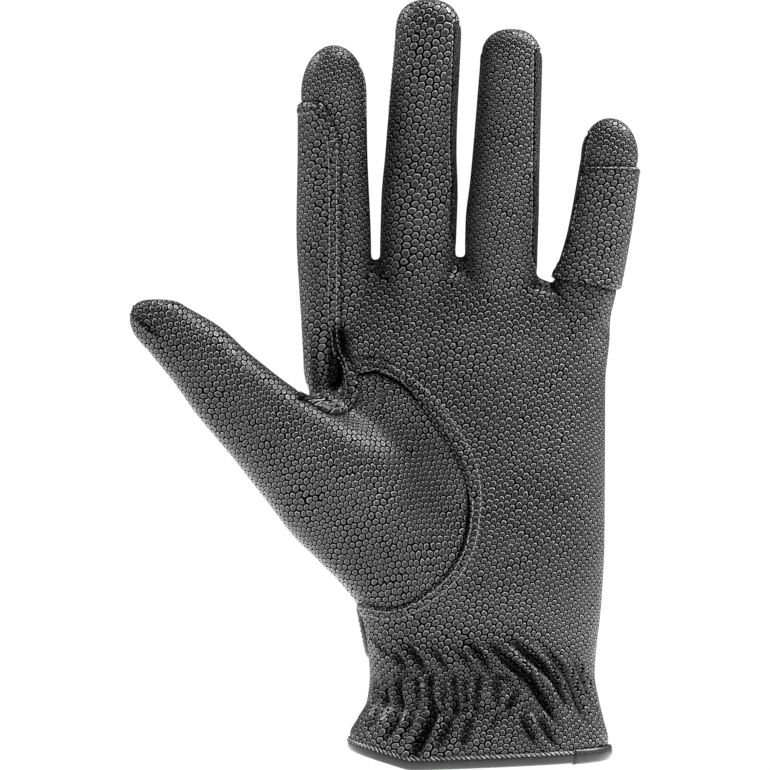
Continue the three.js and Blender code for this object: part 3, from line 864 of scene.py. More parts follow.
@dataclass(frozen=True)
class Fold:
    """A fold along a line of spots in the front view: a ridge, or with a height below zero a valley."""

    spots: tuple[Point2, ...]
    width: float
    height: float
    fade: float = 0.25
    bank: float = 0.55
    steps: int = 5

    def lift(self, flat: Array) -> Array:
        """How far the fold moves each flat point out of the surface.

        Args:
            flat: points across and up, in millimetres.

        Returns:
            The lift, in millimetres.
        """
        path = smooth_path(GLOVE.at_photo(self.spots), self.steps)
        low, high = path.min(axis=0) - 4 * self.width, path.max(axis=0) + 4 * self.width
        close = np.flatnonzero(np.all((flat > low) & (flat < high), axis=1))
        lift = np.zeros(len(flat))
        if not len(close):
            return lift
        best = np.full(len(close), np.inf)
        place = np.zeros(len(close))
        lengths = np.linalg.norm(np.diff(path, axis=0), axis=1)
        total, gone = lengths.sum(), 0.0
        for start, end, length in zip(path[:-1], path[1:], lengths):
            along = np.clip((flat[close] - start) @ (end - start) / max(length * length, 1e-9), 0.0, 1.0)
            away = np.linalg.norm(flat[close] - start - along[:, None] * (end - start), axis=1)
            closer = away < best
            best[closer] = away[closer]
            place[closer] = (gone + along[closer] * length) / total
            gone += length
        ends = ramp(place, 0.0, self.fade) * ramp(1 - place, 0.0, self.fade)
        ends = np.maximum(ends, 0.0)
        bank = self.bank * bump(best - 2.0 * self.width, self.width)
        lift[close] = self.height * ends * (bump(best, self.width) - bank)
        return lift


# Folds as they lie in the front view

FAN_ABOVE_GATHERS = (
    Fold(((372, 628), (381, 642), (390, 656), (399, 668)), 0.9, -0.6, 0.5),
    Fold(((381, 633), (392, 648), (403, 662), (412, 676)), 1.0, -0.9, 0.5),
    Fold(((398, 634), (411, 648), (422, 663), (430, 677)), 1.0, -1.0, 0.5),
    Fold(((422, 636), (434, 649), (444, 662), (452, 676)), 0.9, -0.8, 0.5),
    Fold(((443, 634), (457, 647), (468, 660), (478, 675)), 0.9, -0.7, 0.5),
    Fold(((455, 626), (470, 642), (484, 658), (500, 676)), 1.1, -1.0, 0.5),
    Fold(((470, 622), (488, 641), (508, 660), (526, 674), (539, 694), (552, 716), (567, 742)),
         1.3, -1.3, 0.4),
    Fold(((492, 620), (513, 640), (536, 660), (553, 676), (564, 698), (580, 732)), 1.3, -1.3, 0.4),
    Fold(((528, 630), (548, 652), (565, 675), (577, 704), (596, 738)), 1.2, -1.1, 0.4),
    Fold(((556, 640), (574, 662), (586, 690), (601, 728)), 1.0, -0.8, 0.5),
)
GATHERS = (
    Fold(((388, 690), (440, 689), (480, 688), (524, 690)), 3.6, 0.7, 0.25, 0.0),
    Fold(((374, 670), (379, 688), (374, 714)), 0.8, -0.6, 0.5),
    Fold(((389, 678), (386, 692), (390, 706)), 0.7, -0.9, 0.4),
    Fold(((402, 664), (399, 686), (405, 712)), 0.9, -1.2, 0.4),
    Fold(((413, 672), (419, 688), (415, 704)), 0.8, -1.2, 0.4),
    Fold(((431, 662), (430, 690), (437, 715)), 0.9, -1.5, 0.4),
    Fold(((442, 674), (444, 688), (438, 703)), 0.7, -1.1, 0.4),
    Fold(((450, 664), (455, 690), (453, 716)), 0.9, -1.4, 0.4),
    Fold(((466, 670), (463, 686), (469, 705)), 0.8, -1.3, 0.4),
    Fold(((479, 662), (476, 684), (473, 714)), 0.9, -1.4, 0.4),
    Fold(((497, 668), (494, 690), (499, 704)), 1.0, -1.3, 0.4),
    Fold(((516, 678), (511, 696), (500, 712)), 0.9, -1.1, 0.4),
    Fold(((404, 674), (424, 680), (440, 677)), 0.7, -0.6, 0.5),
    Fold(((446, 700), (462, 706), (486, 700)), 0.7, -0.6, 0.5),
    Fold(((484, 676), (502, 672), (520, 684)), 0.7, -0.7, 0.5),
)
FLARE_BELOW_GATHERS = (
    Fold(((437, 700), (428, 722), (417, 742), (409, 760)), 1.6, -1.7, 0.35),
    Fold(((453, 704), (444, 726), (429, 750)), 1.2, -1.2, 0.4),
    Fold(((472, 704), (466, 724), (459, 748)), 1.1, -1.1, 0.4),
    Fold(((403, 704), (393, 722), (380, 742)), 1.1, -1.0, 0.4),
    Fold(((418, 702), (411, 718), (402, 740)), 0.9, -0.8, 0.5),
    Fold(((386, 700), (374, 718), (364, 738)), 0.9, -0.6, 0.5),
    Fold(((500, 702), (492, 716), (483, 732)), 0.9, -0.7, 0.5),
    Fold(((516, 700), (524, 722), (539, 744)), 1.0, -0.9, 0.4),
    Fold(((532, 700), (542, 722), (561, 748)), 1.1, -1.0, 0.4),
)
PALM_CREASES = (
    Fold(((572, 297), (590, 315), (611, 336)), 1.3, -0.3),
    Fold(((346, 357), (370, 357), (398, 367)), 0.5, -0.4),
    Fold(((350, 363), (372, 363), (394, 371)), 0.5, -0.4),
    Fold(((338, 320), (336, 360), (333, 400)), 3.0, -1.8),
    Fold(((134, 309), (147, 323), (163, 336)), 0.5, -0.55, 0.05, 1.0),
    Fold(((395, 378), (436, 412), (463, 462), (464, 515)), 4.5, 1.3, 0.3, 0.0),
)
FOLDS = FAN_ABOVE_GATHERS + GATHERS + FLARE_BELOW_GATHERS + PALM_CREASES


@dataclass
class Relief:
    """The small shape of the skin: grooves at the seams, raised seam edges, folds and gathers; and painted
    shade along the seams, beside the trims and in the folds' valleys.
    """

    skin: Skin
    seams: Seams
    near: float = 8.0
    thumb_groove: float = 0.9
    strip_groove: float = 0.35
    side_groove: float = 0.4
    groove_width: float = 0.6
    welt_height: float = 0.5
    welt_width: float = 4.6
    seam_fades: Point2 = (54.0, 74.0)
    faint_seam: float = 0.3
    strip_welt: float = 0.28
    trim_groove: float = 0.25
    painted_shade_rows: Point2 = (2.4, 4.6)
    facing_front: Point2 = (0.05, 0.45)
    fold_strength: float = 1.6
    folds: tuple[Fold, ...] = FOLDS
    trims: tuple[Callable[[Array], Array], ...] = ()
    distances: dict[str, Array] = field(init=False)
    folded: Array = field(init=False)
    hollow: Array = field(init=False)
    points: Array = field(init=False)
    shade: Array = field(init=False)

    def seam_points(self) -> dict[str, NDArray[np.bool_]]:
        """The skin's points on each kind of seam.

        Returns:
            A mask for each kind.
        """
        low, high = self.skin.reach[:, 0], self.skin.reach[:, 1]
        strips = [strip[0] for strip in self.seams.strips]
        return {
            "thumb": (low == Panel.THUMB) & (high > Panel.THUMB),
            "strip": np.isin(low, strips) & (high >= Panel.PALM),
            "side": (low == Panel.PALM) & (high == Panel.BACK),
            "hem": (low == Panel.BELOW) & (high > Panel.BELOW),
        }

    def measure(self) -> None:
        """Measures how far each point of the skin is from each kind of seam."""
        levels = self.seams.levels(self.skin.points)
        strip = np.min([np.abs(levels[panel]) for panel, *_ in self.seams.strips], axis=0)
        about = {"thumb": np.abs(levels[Panel.THUMB]), "strip": strip, "side": np.abs(levels[Panel.PALM]),
                 "hem": np.abs(levels[Panel.BELOW])}
        self.distances = {}
        for kind, on_seam in self.seam_points().items():
            tree = tree_of(self.skin.points[on_seam])
            away = np.full(len(self.skin.points), self.near)
            for i in np.flatnonzero(about[kind] < self.near):
                away[i] = min(self.near, tree.find(self.skin.points[i])[2])
            self.distances[kind] = away

    def apply(self) -> None:
        """Moves the skin's points by the relief."""
        self.measure()
        flat = self.skin.points[:, [0, 2]]
        facing = ramp(-self.skin.normals[:, 1], *self.facing_front)
        lift = np.zeros(len(flat))
        for fold in self.folds:
            lift += self.fold_strength * fold.lift(flat) * facing
        hem = ramp(self.distances["hem"], 0.0, 2.5)
        self.folded = self.skin.points + self.skin.normals * (lift * hem)[:, None]
        self.hollow = np.maximum(-lift, 0.0)
        near_thumb = self.distances["thumb"]
        palm = self.skin.reach[:, 0] >= Panel.PALM
        welt = ramp(near_thumb, 0.1, 0.9) * ramp(self.welt_width - near_thumb, 0.0, 1.3)
        lift = np.where(palm & (near_thumb < self.near), self.welt_height * welt, 0.0) * facing
        open_seam = ramp(self.skin.points[:, 2], *self.seam_fades)
        strength = self.faint_seam + (1 - self.faint_seam) * open_seam
        lift -= self.thumb_groove * strength * bump(near_thumb, self.groove_width)
        lift -= self.strip_groove * bump(self.distances["strip"], self.groove_width)
        lift -= self.side_groove * bump(self.distances["side"], self.groove_width)
        lift += np.where(palm, self.strip_welt * bump(self.distances["strip"] - 1.5, 0.6), 0.0) * facing
        closest = np.minimum(self.distances["side"], self.distances["strip"])
        # Painted shade along the side seam, the strips' seams and the thumb's seam.
        self.shade = np.maximum(bump(closest, 0.8), strength * bump(near_thumb, 0.65))
        # Painted shade in two rows on the palm beside the thumb's seam.
        rows = sum(bump(near_thumb - row, 0.5) for row in self.painted_shade_rows)
        beside = np.where(palm, rows, 0.0) * strength
        self.shade = np.maximum(self.shade, 0.6 * beside)
        # Each trim sinks a groove into the skin beside its edge and paints shade there.
        for level in self.trims:
            edge = bump(np.maximum(level(self.skin.points), 0.0), 0.75)
            lift -= self.trim_groove * edge
            self.shade = np.maximum(self.shade, 0.8 * edge)
        # Painted shade in the folds' valleys.
        self.shade = np.maximum(self.shade, 0.85 * ramp(self.hollow, 0.1, 1.2))
        self.points = self.folded + self.skin.normals * lift[:, None]


def tree_of(points: Array) -> KDTree:
    """A search tree over points.

    Args:
        points: the points.

    Returns:
        The tree.
    """
    tree = KDTree(len(points))
    for i, point in enumerate(points):
        tree.insert(point, i)
    tree.balance()
    return tree


# Meshes

@dataclass
class MeshData:
    """A mesh before it goes to Blender: points in millimetres, faces, and numbers laid over them."""

    points: Array
    faces: list[Ints]
    grain: Array | None = None
    shade: Array | None = None

    def triangles(self) -> int:
        """How many triangles the mesh comes to."""
        return int(sum(len(group) * (group.shape[1] - 2) for group in self.faces))

    def object(self, name: str, material: bpy.types.Material) -> bpy.types.Object:
        """Makes the Blender object.

        Args:
            name: the piece's name.
            material: its material.

        Returns:
            The object, in metres and in the scene.
        """
        mesh = bpy.data.meshes.new(name)
        sizes = np.concatenate([np.full(len(group), group.shape[1]) for group in self.faces])
        corners = np.concatenate([group.ravel() for group in self.faces])
        mesh.vertices.add(len(self.points))
        mesh.vertices.foreach_set("co", (self.points * METRES).astype(np.float32).ravel())
        mesh.loops.add(len(corners))
        mesh.loops.foreach_set("vertex_index", corners.astype(np.int32))
        mesh.polygons.add(len(sizes))
        starts = np.concatenate([[0], np.cumsum(sizes)[:-1]])
        mesh.polygons.foreach_set("loop_start", starts.astype(np.int32))
        mesh.polygons.foreach_set("use_smooth", np.ones(len(sizes), dtype=bool))
        if self.grain is not None:
            layer = mesh.uv_layers.new(name=GRAIN_MAP)
            layer.uv.foreach_set("vector", self.grain.astype(np.float32).ravel())
        # Painted shade, which the leather's material reads to darken its colour and take its shine off.
        if self.shade is not None:
            shade = mesh.attributes.new(PAINTED_SHADE, "FLOAT", "POINT")
            shade.data.foreach_set("value", self.shade.astype(np.float32))
        mesh.update(calc_edges=True)
        mesh.validate()
        mesh.materials.append(material)
        piece = bpy.data.objects.new(name, mesh)
        bpy.context.scene.collection.objects.link(piece)
        return piece


def border_edges(faces: Ints) -> Ints:
    """The edges that only one face has, in that face's order.

    Args:
        faces: the faces.

    Returns:
        Pairs of points.
    """
    count = faces.shape[1]
    ends = np.vstack([faces[:, [i, (i + 1) % count]] for i in range(count)])
    key = np.sort(ends, axis=1)
    _, index, times = np.unique(key, axis=0, return_index=True, return_counts=True)
    return ends[index[times == 1]]


def chain(edges: Ints) -> list[list[int]]:
    """Joins loose edges into runs of points, the longest first.

    Args:
        edges: pairs of points.

    Returns:
        The runs.
    """
    links: dict[int, list[int]] = {}
    for a, b in edges.tolist():
        links.setdefault(a, []).append(b)
        links.setdefault(b, []).append(a)
    runs: list[list[int]] = []
    left = dict(links)
    while left:
        ends = [point for point, others in left.items() if len(others) != 2]
        start = min(ends) if ends else min(left)
        run, here, before = [start], start, -1
        while True:
            others = [other for other in left.get(here, []) if other != before]
            if not others:
                break
            before, here = here, others[0]
            left[before] = [other for other in left[before] if other != here]
            left[here] = [other for other in left[here] if other != before]
            run.append(here)
            if here == start:
                break
        for point in run:
            if point in left and not left[point]:
                del left[point]
        if len(run) > 1:
            runs.append(run)
        elif start in left:
            del left[start]
    return sorted(runs, key=len, reverse=True)


def shell(outer: Array, inner: Array, faces: Ints) -> tuple[Array, Ints]:
    """Closes an outer and an inner surface into a thin solid wall.

    Args:
        outer: the outer points.
        inner: the inner point under each outer one.
        faces: the outer faces.

    Returns:
        All points, and all faces with the rim between both surfaces.
    """
    count = len(outer)
    rim = border_edges(faces)
    sides = np.column_stack([rim[:, 1], rim[:, 0], rim[:, 0] + count, rim[:, 1] + count])
    return np.vstack([outer, inner]), np.vstack([faces, faces[:, ::-1] + count, sides])


@dataclass
class Unroll:
    """Lays the leather's grain on the skin without stretching it: the way round each part is unrolled."""

    form: Form
    hand_round: float = 15.0
    finger_round: float = 10.5
    tip_round: float = 8.0
    web_round: float = 14.0
    web_heights: Point2 = (122.0, 140.0)
    finger_heights: Point2 = (135.0, 165.0)
    grain_heights: Point2 = (142.0, 172.0)
    outer_heights: Point2 = (110.0, 160.0)
    outer_from: float = 8.0
    outer_most: float = 12.0
    finger_foot: Point2 = (150.0, 165.0)
    strip_lean: float = 0.8
    gathered: float = 0.35
    gather_height: float = 24.0
    gather_reach: float = 6.5
    finger_grain: tuple[tuple[str, float], ...] = (
        ("index", 0.04), ("middle", -0.13), ("ring", 0.12), ("little", 0.05))

    def coordinates(self, panel: Panel, points: Array, faces: Ints, past_left: bool = False) -> Array:
        """The grain's place at each corner of each face, in millimetres.

        Args:
            panel: the panel that the faces are on.
            points: the skin's points.
            faces: the faces.
            past_left: whether the piece turns round the thumb's side on to the back.

        Returns:
            One pair for each corner.
        """
        if panel == Panel.THUMB:
            return self.round_thumb(points, faces)
        if panel in (Panel.INDEX_MIDDLE, Panel.MIDDLE_RING, Panel.RING_LITTLE):
            flat = np.column_stack([points[:, 1], points[:, 2] + self.strip_lean * points[:, 0]])
            return flat[faces].reshape(-1, 2)
        normals = self.form.facing(points, self.form.without_thumb)
        if past_left:
            middle = self.form.fingers["index"].middle(points[:, 2])
            turn = np.arctan2(points[:, 0] - middle, GLOVE.curl(points[:, 2]) - points[:, 1])
            turn = np.where(turn > math.pi / 2, turn - 2 * math.pi, turn)
            round_finger = middle + self.finger_round * turn
            web = 1.0 - ramp(points[:, 2], *self.web_heights)
            into_web = web * self.web_round * np.arcsin(np.clip(normals[:, 2], -1.0, 1.0))
            up = self.up(points[:, 2], (1 - web) * normals[:, 2]) - into_web
            return np.column_stack([round_finger, up])[faces].reshape(-1, 2)
        side = -1.0 if panel == Panel.BACK else 1.0
        turn = np.arctan2(normals[:, 0], -side * normals[:, 1])
        share = ramp(points[:, 2], *self.finger_heights)
        radius = self.hand_round + (self.finger_round - self.hand_round) * share
        across = points[:, 0] + radius * (turn - np.sin(turn))
        up = self.up(points[:, 2], normals[:, 2])
        across, up = self.resize(points, across, up)
        return np.column_stack([side * across, up])[faces].reshape(-1, 2)

    def resize(self, points: Array, across: Array, up: Array) -> tuple[Array, Array]:
        """Makes the grain larger on some fingers and finer on others, and finer at the palm's outer edge.

        Args:
            points: the skin's points.
            across: the grain's place across.
            up: the grain's place up.

        Returns:
            Both places, changed.
        """
        places = [self.form.fingers[name].middle(points[:, 2]) for name, _ in self.finger_grain]
        nearest = np.argmin([np.abs(points[:, 0] - place) for place in places], axis=0)
        rate = np.array([rate for _, rate in self.finger_grain])[nearest]
        middle = np.stack(places)[nearest, np.arange(len(points))]
        share = ramp(points[:, 2], *self.grain_heights)
        across = across * (1 + self.gathered * bump(points[:, 2] - self.gather_height, self.gather_reach))
        past = np.maximum(points[:, 0] - self.outer_from, 0.0)
        finer = 0.5 * past ** 2 / 60.0 * (1 - ramp(points[:, 2], *self.outer_heights))
        across = across + rate * share * (points[:, 0] - middle) + np.minimum(finer, self.outer_most)
        above = np.maximum(points[:, 2] - self.finger_foot[0], 0.0)
        return across, up + rate * above * ramp(points[:, 2], *self.finger_foot)

    def up(self, height: Array, rise: Array) -> Array:
        """The way up the skin, unrolled over the fingertips."""
        tilt = np.arcsin(np.clip(rise, -1.0, 1.0))
        return height + self.tip_round * (tilt - np.sin(tilt))

    def round_thumb(self, points: Array, faces: Ints) -> Array:
        """The same for the thumb, which is unrolled all the way round from a line on its back.

        Args:
            points: the points.
            faces: the faces.

        Returns:
            One pair for each corner.
        """
        thumb = self.form.thumb
        normals = self.form.facing(points, thumb.distance)
        away = points - thumb.root
        along, across = away @ thumb.forward, away @ thumb.sideways
        turn = np.arctan2(normals @ thumb.sideways, -normals[:, 1])
        radius = 0.9 * thumb.profile.read("deep", along) + 1.0
        corner = turn[faces]
        wrapped = (corner.max(axis=1) - corner.min(axis=1)) > math.pi
        corner = np.where(wrapped[:, None] & (corner < 0), corner + 2 * math.pi, corner)
        side = np.sign(corner)
        behind = np.abs(corner) > math.pi / 2
        from_front = np.where(behind, side * math.pi - corner, corner)
        u = across[faces] + radius[faces] * (from_front - np.sin(from_front))
        half = (thumb.profile.read("half", along) + radius * (math.pi / 2 - 1))[faces]
        edge = thumb.profile.read("drift", along)[faces] + side * half
        u = np.where(behind, 2 * edge - u, u)
        v = self.up(along, normals @ thumb.forward)[faces]
        return np.column_stack([u.ravel(), v.ravel()])


# Finishes

class Bench:
    """Adds shader nodes to a material and joins them."""

    def __init__(self, name: str) -> None:
        """Starts a material with only its surface shader.

        Args:
            name: the material's name.
        """
        self.material = bpy.data.materials.new(name)
        self.material.use_nodes = True
        self.tree = self.material.node_tree
        self.shader = self.tree.nodes["Principled BSDF"]

    def add(self, kind: str, **settings: object) -> bpy.types.Node:
        """A new node with the given settings.

        Args:
            kind: the kind of node.
            settings: what to set on it.

        Returns:
            The node.
        """
        made = self.tree.nodes.new(kind)
        for name, value in settings.items():
            setattr(made, name, value)
        return made

    def feed(self, socket: bpy.types.NodeSocket, value: object) -> None:
        """Joins a value or another node's output to a socket.

        Args:
            socket: the socket to feed.
            value: a value or a socket.
        """
        if isinstance(value, bpy.types.NodeSocket):
            self.tree.links.new(value, socket)
        else:
            socket.default_value = value

    def math(self, operation: str, *values: object) -> bpy.types.NodeSocket:
        """A sum on numbers.

        Args:
            operation: what the node does.
            values: values or sockets to feed it.

        Returns:
            Its result.
        """
        made = self.add("ShaderNodeMath", operation=operation)
        for socket, value in zip(made.inputs, values):
            self.feed(socket, value)
        return made.outputs[0]

    def vector(self, operation: str, *values: object) -> bpy.types.NodeSocket:
        """A sum on vectors; a length or a dot product comes out as a number.

        Args:
            operation: what the node does.
            values: values or sockets to feed it.

        Returns:
            Its result.
        """
        made = self.add("ShaderNodeVectorMath", operation=operation)
        for socket, value in zip(made.inputs, values):
            self.feed(socket, value)
        return made.outputs["Value" if operation in ("LENGTH", "DOT_PRODUCT") else "Vector"]

    def ease(self, value: object, low: float, high: float, start: float = 0.0,
             end: float = 1.0) -> bpy.types.NodeSocket:
        """A soft step of a number from start at low to end at high.

        Args:
            value: a value or a socket.
            low: where it starts to rise.
            high: where it is done.
            start: the result below low.
            end: the result above high.

        Returns:
            Its result.
        """
        made = self.add("ShaderNodeMapRange", interpolation_type="SMOOTHSTEP")
        for name, setting in (("Value", value), ("From Min", low), ("From Max", high), ("To Min", start),
                              ("To Max", end)):
            self.feed(made.inputs[name], setting)
        return made.outputs["Result"]

    def mix(self, share: object, first: object, second: object, kind: str = "RGBA",
            blend: str = "MIX") -> bpy.types.NodeSocket:
        """A blend of two colours or two vectors.

        Args:
            share: how much of the second.
            first: the first.
            second: the second.
            kind: the kind of node.
            blend: how the colours mix.

        Returns:
            Its result.
        """
        made = self.add("ShaderNodeMix", data_type=kind)
        if kind == "RGBA":
            made.blend_type = blend
        ends = {"RGBA": (6, 7, 2), "VECTOR": (4, 5, 1), "FLOAT": (2, 3, 0)}[kind]
        self.feed(made.inputs[0], share)
        self.feed(made.inputs[ends[0]], first)
        self.feed(made.inputs[ends[1]], second)
        return made.outputs[ends[2]]

    def noise(self, place: bpy.types.NodeSocket, scale: float, detail: float = 2.0,
              roughness: float = 0.5) -> bpy.types.Node:
        """A noise at a place.

        Args:
            place: where it is read.
            scale: its fineness.
            detail: its finer layers.
            roughness: how strong those are.

        Returns:
            The node.
        """
        made = self.add("ShaderNodeTexNoise")
        self.feed(made.inputs["Vector"], place)
        self.feed(made.inputs["Scale"], scale)
        self.feed(made.inputs["Detail"], detail)
        self.feed(made.inputs["Roughness"], roughness)
        return made

    def finish(self, colour: object, roughness: object, height: object, depth: float,
               gloss: float = 0.5, hollow: object = 0.0) -> bpy.types.Material:
        """Sets the surface.

        Args:
            colour: the base colour.
            roughness: the roughness.
            height: the relief, from 0 to 1.
            depth: how deep that relief is, in metres.
            gloss: the specular level.
            hollow: the metallic share over the dark colour, which takes the shine away as painted shade: 1
                at the bottom of grooves, where nothing shines.

        Returns:
            The material.
        """
        raised = self.add("ShaderNodeBump")
        raised.inputs["Strength"].default_value = 1.0
        raised.inputs["Distance"].default_value = depth
        self.feed(raised.inputs["Height"], height)
        self.feed(self.shader.inputs["Base Color"], colour)
        self.feed(self.shader.inputs["Roughness"], roughness)
        self.feed(self.shader.inputs["Normal"], raised.outputs["Normal"])
        self.feed(self.shader.inputs["Metallic"], hollow)
        self.shader.inputs["Specular IOR Level"].default_value = gloss
        return self.material


def grey(value: float, warmth: float = 0.0) -> tuple[float, float, float, float]:
    """A near-grey colour."""
    return (value * (1 + warmth), value, value * (1 - warmth), 1.0)


@dataclass(frozen=True)
class GrainedLeather:
    """Leather with a scale-like grain: roundish six-sided cells with a dark groove round each, a lighter
    rim, a small dimple in the middle and one side lifted. The dark grooves are painted shade, and the
    lighter rims, lightest on the lifted side, are painted highlights."""

    cell: float = 2.1
    turn: float = -20.0
    face: float = 0.011
    # Painted shade: the grooves' colour, near black.
    groove: float = 0.0005
    # Painted highlight: the rims' colour, far lighter than the faces'.
    rim: float = 0.21
    roughness: float = 0.38
    depth: float = 0.00042
    roundness: float = 0.3
    gloss: float = 0.34
    # How much shine the cells' faces lose, painted shade that leaves the rims to glint.
    dull: float = 0.55
    offset: float = 500.0
    squash: Point2 = (0.93, 1.09)
    drift: float = 3.0
    jitter: float = 0.66
    body_ease: Point2 = (0.345, 0.455)
    rim_inner: Point2 = (0.26, 0.34)
    rim_outer: Point2 = (0.35, 0.42)
    lean: Point2 = (0.5, 0.85)
    lift: float = 0.75

    def material(self, name: str) -> bpy.types.Material:
        """The finish as a material with the given name.

        Args:
            name: the material's name.

        Returns:
            The material.
        """
        bench = Bench(name)
        place = bench.add("ShaderNodeUVMap", uv_map=GRAIN_MAP).outputs["UV"]
        turned = bench.add("ShaderNodeVectorRotate", rotation_type="Z_AXIS")
        bench.feed(turned.inputs["Vector"], place)
        turned.inputs["Angle"].default_value = math.radians(self.turn)
        scale = (self.squash[0] / self.cell, self.squash[1] / self.cell, 0.0)
        scaled = bench.vector("MULTIPLY", turned.outputs["Vector"], scale)
        slow = bench.noise(scaled, 0.08, 1.0).outputs["Color"]
        quick = bench.noise(scaled, 0.7, 1.0).outputs["Color"]
        middle = (0.5, 0.5, 0.5)
        drift = bench.vector("SUBTRACT", slow, middle)
        drift = bench.vector("MULTIPLY", drift, (self.drift, self.drift, 0.0))
        jitter = bench.vector("SUBTRACT", quick, middle)
        jitter = bench.vector("MULTIPLY", jitter, (self.jitter, self.jitter, 0.0))
        warped = bench.vector("ADD", bench.vector("ADD", scaled, drift), jitter)
        moved = bench.vector("ADD", warped, (self.offset, self.offset, 0.0))
        return self.cells(bench, moved, scaled)

    def cells(self, bench: Bench, moved: bpy.types.NodeSocket,
              scaled: bpy.types.NodeSocket) -> bpy.types.Material:
        """Draws the cells, with painted shade in their grooves, on their faces and along the seams, and
        painted highlights on their rims.

        Args:
            bench: the nodes so far.
            moved: the place in cells, warped.
            scaled: the place in cells, not warped.

        Returns:
            The material.
        """
        tall = math.sqrt(3)
        size, half = (1.0, tall, 1.0), (0.5, tall / 2, 0.0)
        one = bench.vector("SUBTRACT", bench.vector("MODULO", moved, size), half)
        shifted = bench.vector("SUBTRACT", moved, half)
        two = bench.vector("SUBTRACT", bench.vector("MODULO", shifted, size), half)
        flat = (1.0, 1.0, 0.0)
        one, two = bench.vector("MULTIPLY", one, flat), bench.vector("MULTIPLY", two, flat)
        nearer = bench.math("LESS_THAN", bench.vector("LENGTH", one), bench.vector("LENGTH", two))
        away = bench.mix(nearer, two, one, "VECTOR")
        span = bench.vector("ABSOLUTE", away)
        parts = bench.add("ShaderNodeSeparateXYZ")
        bench.feed(parts.inputs[0], span)
        slanted = bench.vector("DOT_PRODUCT", span, (0.5, tall / 2, 0.0))
        sided = bench.math("MAXIMUM", slanted, parts.outputs["X"])
        round_out = bench.math("MULTIPLY", bench.vector("LENGTH", away), 0.96 * self.roundness)
        centre = bench.vector("MULTIPLY", bench.vector("SUBTRACT", moved, away), (2.0, 2 / tall, 0.0))
        whole = bench.vector("FLOOR", bench.vector("ADD", centre, (0.5, 0.5, 0.5)))
        chance = bench.add("ShaderNodeTexWhiteNoise", noise_dimensions="3D")
        bench.feed(chance.inputs["Vector"], whole)
        luck = chance.outputs["Value"]
        out = bench.math("ADD", bench.math("MULTIPLY", sided, 1 - self.roundness), round_out)
        out = bench.math("MULTIPLY", out, bench.math("ADD", 0.95, bench.math("MULTIPLY", luck, 0.14)))
        body = bench.ease(out, *self.body_ease, 1.0, 0.0)
        inner = bench.ease(out, *self.rim_inner)
        rim = bench.math("MULTIPLY", inner, bench.ease(out, *self.rim_outer, 1.0, 0.0))
        lifted = bench.vector("DOT_PRODUCT", away, (*self.lean, 0.0))
        # The rim is strongest on each cell's lifted side, in height and in colour; its colour there is a
        # painted highlight.
        rim = bench.math("MULTIPLY", rim, bench.ease(lifted, -0.25, 0.35, 0.2, 1.0))
        dimple = bench.ease(out, 0.02, 0.16, 1.0, 0.0)
        fine = bench.noise(scaled, 7.0, 3.0, 0.6).outputs["Fac"]
        height = bench.math("ADD", body, bench.math("MULTIPLY", rim, 0.14))
        height = bench.math("SUBTRACT", height, bench.math("MULTIPLY", dimple, 0.10))
        height = bench.math("ADD", height, bench.math("MULTIPLY", fine, 0.07))
        height = bench.math("ADD", height, bench.math("MULTIPLY", lifted, self.lift))
        # The painted shade laid on the skin's points.
        shade = bench.add("ShaderNodeAttribute", attribute_name=PAINTED_SHADE).outputs["Fac"]
        cloud = bench.noise(scaled, 0.05, 3.0).outputs["Fac"]
        # The colour's brightness: random tone from cell to cell, in slow clouds and in fine noise, darkened
        # by the painted shade.
        light = bench.math("ADD", bench.math("MULTIPLY", luck, 0.4), bench.ease(cloud, 0.3, 0.7, 0.6, 1.0))
        light = bench.math("MULTIPLY", light, bench.ease(shade, 0.0, 1.0, 1.0, 0.15))
        light = bench.math("MULTIPLY", light, bench.ease(fine, 0.3, 0.7, 0.55, 1.45))
        # Painted highlight in the rims' lighter colour, and painted shade in the grooves' near-black colour.
        faced = bench.mix(rim, grey(self.face), grey(self.rim))
        colour = bench.mix(body, grey(self.groove), faced)
        lit = bench.vector("SCALE", colour)
        bench.feed(lit.node.inputs["Scale"], light)
        roughness = bench.ease(body, 0.0, 1.0, 0.85, self.roughness)
        # Painted shade through the metallic socket: no shine in the grooves, under the painted shade and on
        # each cell's side away from the lift, and less shine on the faces, so that the rims glint.
        painted_dull_face = bench.ease(rim, 0.0, 0.8, self.dull, 0.0)
        in_groove = bench.ease(body, 0.0, 0.8, 1.0, 0.0)
        painted_shade_mask = bench.math("MAXIMUM", in_groove, bench.ease(shade, 0.1, 1.0, 0.0, 0.95))
        painted_shade_mask = bench.math("MAXIMUM", painted_shade_mask, painted_dull_face)
        painted_shade_mask = bench.math("MAXIMUM", painted_shade_mask, bench.ease(lifted, -0.45, -0.1, 0.75, 0.0))
        return bench.finish(lit, roughness, height, self.depth, self.gloss, painted_shade_mask)


